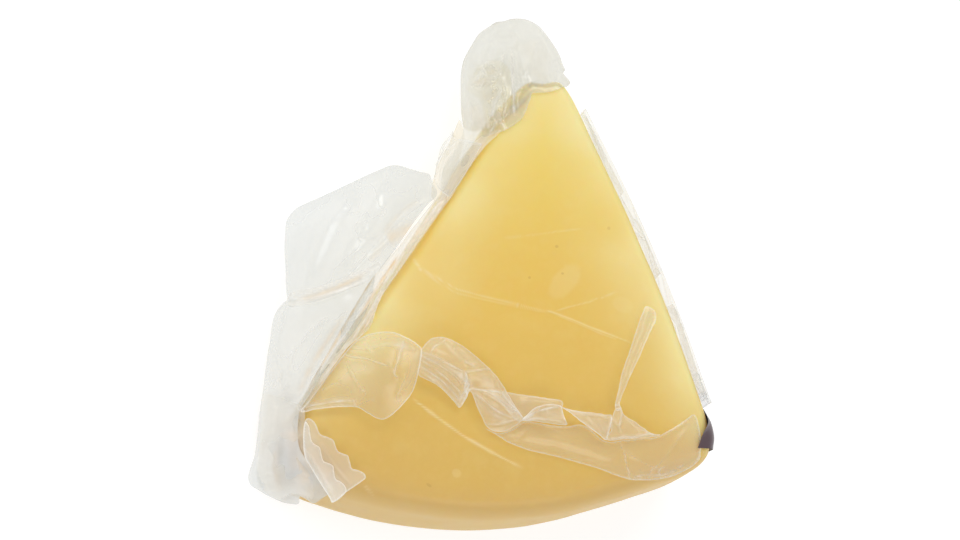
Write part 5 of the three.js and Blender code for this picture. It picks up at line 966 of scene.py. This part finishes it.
def film_material(name, clear=(0.955, 0.962, 0.96), haze=0.085, crease=0.75, edge=0.42, gloss=0.55, rough=0.20, tint=(0.92, 0.935, 0.925), cloud=0.05, bump_strength=0.07):
    """Clear packaging film: lets light through, shines softly off its folds, and is painted milky along creases and cut
    edges, partly the whitening of creased film and partly a painted highlight where folds and edges catch the light.
    """
    m, nt = new_material(name)
    out = node(nt, "ShaderNodeOutputMaterial")
    tc = node(nt, "ShaderNodeTexCoord")
    ca = node(nt, "ShaderNodeAttribute")
    ca.attribute_name = "crease"
    ea = node(nt, "ShaderNodeAttribute")
    ea.attribute_name = "edge"
    wa = node(nt, "ShaderNodeAttribute")
    wa.attribute_name = "warm"
    # cloudy handling marks and fine scratches
    n1 = node(nt, "ShaderNodeTexNoise", Scale=70.0, Detail=5.0, Roughness=0.60)
    link(nt, tc.outputs["Object"], n1.inputs["Vector"])
    c1 = mathn(nt, "MULTIPLY_ADD", n1.outputs["Fac"], 2.2, -0.75, clamp=True)
    mp = node(nt, "ShaderNodeMapping")
    mp.inputs["Scale"].default_value = (420.0, 36.0, 90.0)
    mp.inputs["Rotation"].default_value = (0.2, 0.1, 0.62)
    link(nt, tc.outputs["Object"], mp.inputs["Vector"])
    n2 = node(nt, "ShaderNodeTexNoise", Scale=1.0, Detail=3.0, Roughness=0.55)
    link(nt, mp.outputs[0], n2.inputs["Vector"])
    c2 = mathn(nt, "MULTIPLY_ADD", n2.outputs["Fac"], 4.0, -2.3, clamp=True)
    a = mathn(nt, "MULTIPLY_ADD", c1, cloud, haze)
    a = mathn(nt, "MULTIPLY_ADD", c2, cloud * 0.5, a)
    # milk along creases and cut edges: partly real whitening, partly painted highlight
    a = mathn(nt, "MULTIPLY_ADD", ca.outputs["Fac"], crease, a)
    # painted light: where the warm mask is set the film is milkier and tinted towards the cheese's colour, standing in
    # for light from the cheese shining through and off it
    a = mathn(nt, "MULTIPLY_ADD", wa.outputs["Fac"], 0.75, a)
    a = mathn(nt, "MULTIPLY_ADD", ea.outputs["Fac"], edge, a, clamp=True)
    tone = mix_colour(nt, wa.outputs["Fac"], tint, (1.0, 0.74, 0.42))
    tr = node(nt, "ShaderNodeBsdfTransparent")
    tr.inputs["Color"].default_value = (*clear, 1)
    milk = node(nt, "ShaderNodeBsdfPrincipled")
    link(nt, tone, milk.inputs["Base Color"])
    milk.inputs["Roughness"].default_value = 0.40
    milk.inputs["Specular IOR Level"].default_value = 0.4
    thin = node(nt, "ShaderNodeBsdfTranslucent")
    link(nt, tone, thin.inputs["Color"])
    body = node(nt, "ShaderNodeMixShader")
    body.inputs[0].default_value = 0.35
    link(nt, milk.outputs[0], body.inputs[1])
    link(nt, thin.outputs[0], body.inputs[2])
    m1 = node(nt, "ShaderNodeMixShader")
    link(nt, a, m1.inputs[0])
    link(nt, tr.outputs[0], m1.inputs[1])
    link(nt, body.outputs[0], m1.inputs[2])
    gl = node(nt, "ShaderNodeBsdfGlossy")
    gl.inputs["Color"].default_value = (1, 1, 1, 1)
    gl.inputs["Roughness"].default_value = rough
    # small ripples
    b1 = node(nt, "ShaderNodeTexNoise", Scale=210.0, Detail=3.0, Roughness=0.5)
    link(nt, tc.outputs["Object"], b1.inputs["Vector"])
    bump = node(nt, "ShaderNodeBump", Strength=bump_strength, Distance=0.0006)
    link(nt, b1.outputs["Fac"], bump.inputs["Height"])
    link(nt, bump.outputs[0], gl.inputs["Normal"])
    lw = node(nt, "ShaderNodeLayerWeight")
    lw.inputs["Blend"].default_value = 0.5
    f = mathn(nt, "POWER", lw.outputs["Facing"], 4.0)
    f = mathn(nt, "MULTIPLY_ADD", f, 0.80 * gloss, 0.06 * gloss, clamp=True)
    m2 = node(nt, "ShaderNodeMixShader")
    link(nt, f, m2.inputs[0])
    link(nt, m1.outputs[0], m2.inputs[1])
    link(nt, gl.outputs[0], m2.inputs[2])
    link(nt, m2.outputs[0], out.inputs[0])
    return m


def label_material():
    m, nt = new_material("label")
    out = node(nt, "ShaderNodeOutputMaterial")
    tc = node(nt, "ShaderNodeTexCoord")
    sep = node(nt, "ShaderNodeSeparateXYZ")
    link(nt, tc.outputs["Object"], sep.inputs[0])
    # darker low down, paler towards the top
    t = mathn(nt, "MULTIPLY_ADD", sep.outputs[2], 40.0, -0.95, clamp=True)
    base = ramp(nt, t, [(0.0, srgb(70, 52, 58)), (0.55, srgb(92, 72, 76)), (1.0, srgb(176, 160, 158))])
    n = node(nt, "ShaderNodeTexNoise", Scale=700.0, Detail=4.0)
    link(nt, tc.outputs["Object"], n.inputs["Vector"])
    k = mathn(nt, "MULTIPLY_ADD", n.outputs["Fac"], 0.3, -0.08, clamp=True)
    base = mix_colour(nt, k, base, srgb(60, 44, 50))
    p = node(nt, "ShaderNodeBsdfPrincipled")
    link(nt, base, p.inputs["Base Color"])
    p.inputs["Roughness"].default_value = 0.38
    p.inputs["Coat Weight"].default_value = 0.25
    p.inputs["Coat Roughness"].default_value = 0.2
    bump = node(nt, "ShaderNodeBump", Strength=0.15, Distance=0.0002)
    link(nt, n.outputs["Fac"], bump.inputs["Height"])
    link(nt, bump.outputs[0], p.inputs["Normal"])
    link(nt, p.outputs[0], out.inputs[0])
    return m


# colours of the face ramp from tip to rind: partly the paste's own tone, partly painted shade towards the bottom
CHEESE_TIP = srgb(240, 214, 104)
CHEESE_MID = srgb(233, 195, 94)
CHEESE_LOW = srgb(218, 180, 98)
CHEESE_PALE = srgb(238, 214, 142)
CHEESE_RIND = srgb(211, 177, 112)
# x, y, half sizes, turn, strength, colour
# painted light: the pale colour of the glow painted on the thin edges
CHEESE_EDGE_GLOW = srgb(243, 227, 160)
P0 = (on_cheese(SPOTS) + SHIFT[:2]) * MM
OVALS_AND_SPECKS = [
    (P0[0][0], P0[0][1], 0.0030, 0.0058, 0.60, 0.18, srgb(243, 226, 170)),
    (P0[1][0], P0[1][1], 0.0013, 0.0012, 0.3, 0.24, srgb(240, 218, 156)),
    (P0[2][0], P0[2][1], 0.0008, 0.0004, 0.5, 0.28, srgb(184, 138, 70)),
    (P0[3][0], P0[3][1], 0.0005, 0.0004, 0.0, 0.28, srgb(186, 128, 52)),
    (P0[4][0], P0[4][1], 0.0004, 0.0004, 0.0, 0.26, srgb(186, 128, 52)),
    (P0[5][0], P0[5][1], 0.0004, 0.0003, 0.0, 0.28, srgb(176, 118, 48)),
    (P0[6][0], P0[6][1], 0.0030, 0.0022, 0.3, 0.12, srgb(243, 226, 170)),
    (P0[7][0], P0[7][1], 0.0005, 0.0005, 0.5, 0.20, srgb(190, 138, 60)),
]

# ------------------------------------------------------------------------------------------------ camera first
CAM_TARGET = Vector((-9.75, -4.95, 35.7)) * MM
ROLL = math.radians(4.85)
up_plan = Vector((-math.sin(ROLL), math.cos(ROLL), 0))
right_plan = Vector((math.cos(ROLL), math.sin(ROLL), 0))
back = (right_plan * -0.24 + up_plan * -0.21 + Vector((0, 0, 1))).normalized()
cam_up = (up_plan - back * up_plan.dot(back)).normalized()
cam_right = cam_up.cross(back).normalized()
LENS = 150.0
DIST = 960 * LENS / 36.0 / 3.9 * MM
cd = bpy.data.cameras.new("camera")
cd.lens = LENS
cd.sensor_width = 36.0
cd.clip_start, cd.clip_end = 0.01, 20
cam = bpy.data.objects.new("camera", cd)
scene.collection.objects.link(cam)
rot = Matrix((cam_right, cam_up, back)).transposed().to_4x4()
cam.matrix_world = Matrix.Translation(CAM_TARGET + back * DIST) @ rot
scene.camera = cam

# ------------------------------------------------------------------------------------------------ the pieces
MAT_CHEESE = cheese_material()
MAT_FILM = film_material("clear_film")
MAT_FLAP = film_material("loose_film", clear=(0.835, 0.85, 0.842), haze=0.19, tint=(0.82, 0.84, 0.83), cloud=0.05, rough=0.22, gloss=0.6, bump_strength=0.02)
MAT_HOOD = film_material("hood_film", clear=(0.885, 0.885, 0.855), haze=0.30, tint=(0.89, 0.88, 0.83), cloud=0.06, rough=0.22, gloss=0.6, crease=0.9, bump_strength=0.02)
MAT_GATHER = film_material("gathered_film", clear=(0.965, 0.962, 0.95), haze=0.26, tint=(0.985, 0.97, 0.935), cloud=0.06, rough=0.22, gloss=0.55, crease=0.95, bump_strength=0.0)
MAT_GOLD = film_material("hood_fold_film", clear=(0.995, 0.97, 0.88), haze=0.10, tint=(1.0, 0.965, 0.83), cloud=0.10, rough=0.16, gloss=0.8, crease=1.0, bump_strength=0.03)
# painted light: this film is tinted peach throughout, standing in for light from the cheese's side shining through and
# off it
MAT_PEACH = film_material("side_fold_film", clear=(0.985, 0.95, 0.87), haze=0.42, tint=(1.0, 0.955, 0.85), cloud=0.08, rough=0.22, gloss=0.5, bump_strength=0.03)
MAT_WRAP = film_material("wrap_film", clear=(0.97, 0.97, 0.955), haze=0.34, tint=(1.0, 0.975, 0.915), cloud=0.08, rough=0.24, gloss=0.45, edge=0.1, bump_strength=0.02)
MAT_BASE = film_material("base_film", clear=(0.998, 0.998, 0.997), haze=0.0, edge=0.0, crease=0.1, cloud=0.0, gloss=0.05)
MAT_RIGHT = film_material("right_film", clear=(0.955, 0.96, 0.965), haze=0.14, tint=(0.92, 0.925, 0.935), cloud=0.05, rough=0.22, gloss=0.6, bump_strength=0.03)
MAT_TONGUE = film_material("tongue_film", clear=(0.985, 0.987, 0.985), haze=0.15, edge=0.50, gloss=0.4, rough=0.28, bump_strength=0.03, tint=(0.94, 0.935, 0.90))
MAT_BAND = film_material("band_film", clear=(0.99, 0.99, 0.988), haze=0.26, edge=0.38, gloss=0.4, rough=0.28, bump_strength=0.03, crease=0.95, tint=(0.95, 0.94, 0.90))
MAT_SKIN = film_material("skin_film", clear=(0.995, 0.995, 0.99), haze=0.16, edge=0.42, gloss=0.35, rough=0.30, cloud=0.04, bump_strength=0.03, tint=(0.93, 0.925, 0.88))
MAT_SEAL = film_material("crimped_film", clear=(0.98, 0.98, 0.975), haze=0.31, crease=0.6, edge=0.5, rough=0.30, tint=(0.945, 0.93, 0.885), bump_strength=0.04, gloss=0.4)
MAT_LABEL = label_material()

ch = wedge()
ch.data.materials.append(MAT_CHEESE)
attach(ch, "root")
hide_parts("cheese_wedge")


def dress(ob, mat):
    ob.data.materials.clear()
    ob.data.materials.append(mat)
    return ob


def crum(seed, n, amp, wmin, wmax, angle=0.0, spread=math.pi, pin="", pinw=3.0, longer=(3, 8), wave=0.0, wave_size=12.0):
    nz = Noise(seed + 500)

    def f(U, V, P):
        h = folds(U, V, seed, n, amp, wmin, wmax, angle, spread, longer)
        if wave:
            h = h + wave * nz(U / wave_size, V / wave_size, 0.5)
        if "l" in pin:
            h = h * smoothstep(0, pinw, V)
        if "r" in pin:
            h = h * smoothstep(0, pinw, V.max() - V)
        if "u" in pin:
            h = h * smoothstep(0, pinw, U)
        if "d" in pin:
            h = h * smoothstep(0, pinw, U.max() - U)
        return h

    return f


dress(film("film_left_side_sheet", LEFT_SIDE, crumple=crum(21, 14, 0.5, 2.0, 6, pin="lr", wave=0.3), replaces=("film_left_side",)), MAT_FILM)


def lay(name, key, mat, **kw):
    q = PATCH[key]
    return dress(patch(name, q["outline"], q["z"], q["lines"], tones=q["tones"], warm=q["warm"], **kw), mat)


lay("film_left_flap_sheet", "left_flap", MAT_FLAP, wiggle=0.0, rim_milk=0.25, seed=2, soft=0.4, soft_size=9, small=0.0, folds_n=4, folds_amp=0.2, folds_w=(3, 7), replaces=("film_left_flap",))
lay("film_lower_flap_sheet", "lower_flap", MAT_FLAP, wiggle=0.0, rim_milk=0.25, seed=3, soft=0.4, soft_size=8, small=0.0, folds_n=10, folds_amp=0.3, folds_w=(3, 7), replaces=("film_lower_flap",))
lay("film_fold_rope", "fold_rope", MAT_GATHER, seed=4, soft=0.2, soft_size=8, small=0.0, step=0.36, lift=0.9, rim_milk=0.2)
lay("film_edge_gather", "edge_gather", MAT_GATHER, seed=5, soft=0.2, soft_size=8, small=0.0, step=0.32, lift=0.3, rim_milk=0.4)
lay("film_low_wrap", "low_wrap", MAT_WRAP, seed=33, soft=0.4, soft_size=7, step=0.5, over=0.35, rim_milk=0.0)
lay("film_end_seal_long", "seal_long", MAT_SEAL, seed=16, soft=0.08, small=0.03, step=0.42, wiggle=0.05, over=0.5, replaces=("end_seal_front",), slot="crimped_film")
lay("film_end_seal_short", "seal_short", MAT_SEAL, seed=17, soft=0.08, small=0.03, step=0.42, wiggle=0.05, over=0.95, replaces=("end_seal_back",), slot="crimped_film")
lay("film_tongue_sheet", "tongue", MAT_TONGUE, seed=6, soft=0.15, soft_size=7, step=0.35, wiggle=0.06, over=1.3, replaces=("film_tongue",))
lay("film_band_sheet", "band_lobe", MAT_BAND, seed=7, soft=0.15, soft_size=6, step=0.32, wiggle=0.08, over=1.0, replaces=("film_band",))
lay("film_band_second", "band_second", MAT_BAND, seed=8, soft=0.12, soft_size=5, step=0.32, wiggle=0.08, over=0.7)
lay("film_band_third", "band_third", MAT_BAND, seed=9, soft=0.12, soft_size=5, step=0.32, wiggle=0.08, over=0.5)
lay("film_band_loop", "band_loop", MAT_BAND, seed=10, soft=0.1, soft_size=5, step=0.32, wiggle=0.06, over=0.9)
lay("film_torn_strip_sheet", "strip_triangle", MAT_BAND, seed=11, soft=0.15, soft_size=5, step=0.32, wiggle=0.08, over=0.8, replaces=("film_torn_strip",))
lay("film_torn_strip_tail", "strip_tail", MAT_BAND, seed=12, soft=0.15, soft_size=5, step=0.32, wiggle=0.08, over=0.9)
lay("film_right_ribbon_sheet", "ribbon", MAT_BAND, seed=13, soft=0.15, soft_size=5, step=0.34, wiggle=0.06, over=0.6, replaces=("film_right_ribbon",))
lay("film_lower_skin_sheet", "lower_skin", MAT_SKIN, seed=14, soft=0.08, soft_size=9, small=0.03, step=0.5, wiggle=0.06, over=0.26, replaces=("film_lower_skin",))
lay("film_hood_sheet", "hood_top", MAT_HOOD, wiggle=0.0, rim_milk=0.3, seed=18, soft=0.5, soft_size=10, small=0.0, step=0.5, pin=2.5, folds_n=12, folds_amp=0.4, folds_w=(3, 7), over=0.3, replaces=("film_hood",), held="gathered")
lay("film_hood_under", "hood_under", MAT_HOOD, wiggle=0.0, rim_milk=0.1, seed=19, soft=0.4, soft_size=8, step=0.6, pin=2.5, folds_n=20, folds_amp=0.5, folds_w=(2, 6), over=0.3, held="gathered")
lay("film_hood_folds", "hood_gold", MAT_GOLD, rim_milk=0.0, seed=31, soft=0.3, soft_size=6, small=0.05, step=0.36, pin=1.5, folds_n=22, folds_amp=1.2, folds_w=(2.0, 4.5), over=0.6, lift=1.0, held="gathered")
# peach film along the left side and beside the tip: painted light from the cheese
lay("film_side_band", "side_band", MAT_PEACH, rim_milk=0.2, seed=32, soft=0.25, soft_size=6, step=0.42, over=0.3)
lay("film_hood_side", "hood_printed", MAT_PEACH, rim_milk=0.2, wiggle=0.0, seed=20, soft=0.25, soft_size=8, step=0.5, over=0.3)
lay("film_right_edge_sheet", "right_side", MAT_RIGHT, rim_milk=0.3, seed=21, soft=0.3, soft_size=7, small=0.0, step=0.45, folds_n=6, folds_amp=0.4, folds_w=(2, 5), wiggle=0.0, over=0.2)

# film standing along the right side
RIGHT_PATH = [(15.4, 40.7), (19.9, 33.2), (26.2, 22.4), (32.4, 11.4), (38.0, 1.0), (42.6, -7.8), (47.6, -18.0), (51.6, -27.0), (54.2, -32.6)]
RIGHT_BULGE = [0.7, 0.8, 1.6, 2.0, 2.0, 1.4, 0.9, 0.8, 0.8]
RIGHT_LEVELS = [(34.6, 0.35), (31.0, 0.75), (24.0, 1.0), (16.0, 0.9), (8.0, 0.55), (1.4, 0.2)]
rows = [[(x + 0.875 * (0.7 + b * s), y + 0.484 * (0.7 + b * s), z) for (x, y), b in zip(RIGHT_PATH, RIGHT_BULGE)] for z, s in RIGHT_LEVELS]
dress(film("film_right_side_sheet", rows, crumple=crum(29, 40, 0.6, 2.0, 7, pin="u", pinw=2, wave=0.3), replaces=("film_right_side",)), MAT_FILM)

# film under everything
BASE = [
    (16.0, 38.6), (-4.6, 38.6), (-9.4, 33.0), (-15.4, 27.8), (-19.6, 22.8), (-26.0, 19.4), (-40.2, 13.8), (-50.4, 8.4), (-53.2, 4.0),
    (-52.2, -6.0), (-52.6, -17.4), (-54.0, -30.0), (-55.2, -46.0), (-55.6, -58.0), (-53.6, -65.4), (-48.0, -67.4), (-39.0, -67.0),
    (-23.0, -68.6), (-11.0, -68.9), (9.0, -66.8), (19.0, -64.2), (32.5, -59.0), (45.6, -53.0), (53.2, -48.4), (56.6, -43.0),
    (55.4, -36.0), (50.4, -25.0), (40.8, -4.6), (29.0, 17.0),
]


def base_sheet():
    ring = even(catmull(np.array(BASE), 1200, closed=True), 420, closed=True)
    c = np.array([0.0, -24.0])
    nz = Noise(77)
    loops = []
    K = 70
    for k in range(K):
        s = 1 - k / K
        p = c + (ring - c) * s
        loops.append(np.c_[p, np.full(len(p), 0.3)])
    P = np.stack(loops)
    lift = smoothstep(0.80, 1.0, np.linspace(1, 1 / K, K))[:, None]
    x, y = P[:, :, 0], P[:, :, 1]
    P[:, :, 2] = 0.22 + lift * (0.45 + 0.5 * nz(x / 5, y / 5, 0) + 0.25 * nz(x / 2, y / 2, 3)).clip(0, 2)
    P[:, :, :2] = place("film_base_sheet", P)[:, :, :2]
    ob = grid_object("film_base_sheet", P, closed_v=True, cap=(c[0], c[1], 0.22))
    Pc = np.concatenate([P, P[:, :1]], 1)
    # milkier where the sheet bends and along its outer edge: partly real whitening, partly painted highlight
    paint(ob, "crease", np.r_[crease_mask(Pc, 0.6)[:, :-1].reshape(-1), 0])
    em = np.zeros(P.shape[:2])
    em[0] = 1
    paint(ob, "edge", np.r_[em.reshape(-1), 0])
    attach(ob, "root")
    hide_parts("film_base")
    return ob


# ------------------------------------------------------------------------------------------------ floor
fm, nt = new_material("floor")
o = node(nt, "ShaderNodeOutputMaterial")
d = node(nt, "ShaderNodeBsdfDiffuse")
d.inputs["Color"].default_value = (0.40, 0.40, 0.405, 1)
e = node(nt, "ShaderNodeEmission")
e.inputs["Color"].default_value = (1, 1, 1, 1)
e.inputs["Strength"].default_value = 0.72
ad = node(nt, "ShaderNodeAddShader")
link(nt, d.outputs[0], ad.inputs[0])
link(nt, e.outputs[0], ad.inputs[1])
link(nt, ad.outputs[0], o.inputs[0])
bpy.ops.mesh.primitive_plane_add(size=6, location=(0, 0, -0.0002))
floor = bpy.context.object
floor.name = "floor"
floor.data.materials.append(fm)
dress(base_sheet(), MAT_BASE)

# ------------------------------------------------------------------------------------------------ label, a new sheet in place of the CAD label corner
LABEL_GRID = [
    [(52.3, -29.2, 27.5), (52.5, -29.2, 23), (52.5, -29.2, 18), (52.4, -29.2, 13), (52.3, -29.2, 7.5)],
    [(53.8, -32.2, 31.0), (54.1, -32.2, 26), (54.2, -32.2, 20), (54.1, -32.2, 14), (53.9, -32.2, 7)],
    [(54.7, -37.1, 36.6), (56.0, -36.2, 32.5), (56.3, -35.8, 25), (56.2, -35.8, 16.5), (55.9, -35.8, 8)],
    [(53.4, -40.9, 36.9), (57.2, -40.2, 33.6), (58.1, -39.8, 26.5), (58.0, -39.6, 18), (57.6, -39.6, 9.5)],
    [(52.3, -44.7, 36.9), (56.9, -44.0, 34.2), (58.3, -43.4, 28), (58.4, -43.2, 20), (58.0, -43.0, 11)],
]
dress(film("label", LABEL_GRID, step=0.5, crumple=crum(61, 6, 0.12, 2, 5, wave=0.12), replaces=("label_corner",)), MAT_LABEL)

# ------------------------------------------------------------------------------------------------ light
w = bpy.data.worlds.new("studio")
scene.world = w
w.use_nodes = True
w.node_tree.nodes["Background"].inputs[0].default_value = (0.93, 0.96, 1.0, 1)
w.node_tree.nodes["Background"].inputs[1].default_value = 0.45


def area(name, where, look, size, power, colour=(1, 1, 1), size_y=None):
    l = bpy.data.lights.new(name, "AREA")
    l.shape = "RECTANGLE"
    l.size = size
    l.size_y = size_y or size
    l.energy = power
    l.color = colour
    ob = bpy.data.objects.new(name, l)
    scene.collection.objects.link(ob)
    ob.location = where
    d = Vector(look) - Vector(where)
    ob.rotation_mode = "QUATERNION"
    ob.rotation_quaternion = d.to_track_quat("-Z", "Y")
    return ob


area("key", (0.25, 0.75, 0.95), (0, 0, 0.02), 0.7, 5.3, (1.0, 0.985, 0.96), 0.5)
area("fill", (-0.9, 0.15, 0.7), (0, 0, 0.02), 0.5, 3.4, (0.96, 0.98, 1.0), 0.8)
area("front", (0.3, -0.9, 0.8), (0, 0, 0.02), 0.6, 4.4)

scene.view_settings.view_transform = "Standard"
scene.view_settings.look = "None"
scene.cycles.transparent_max_bounces = 32
scene.cycles.max_bounces = 10
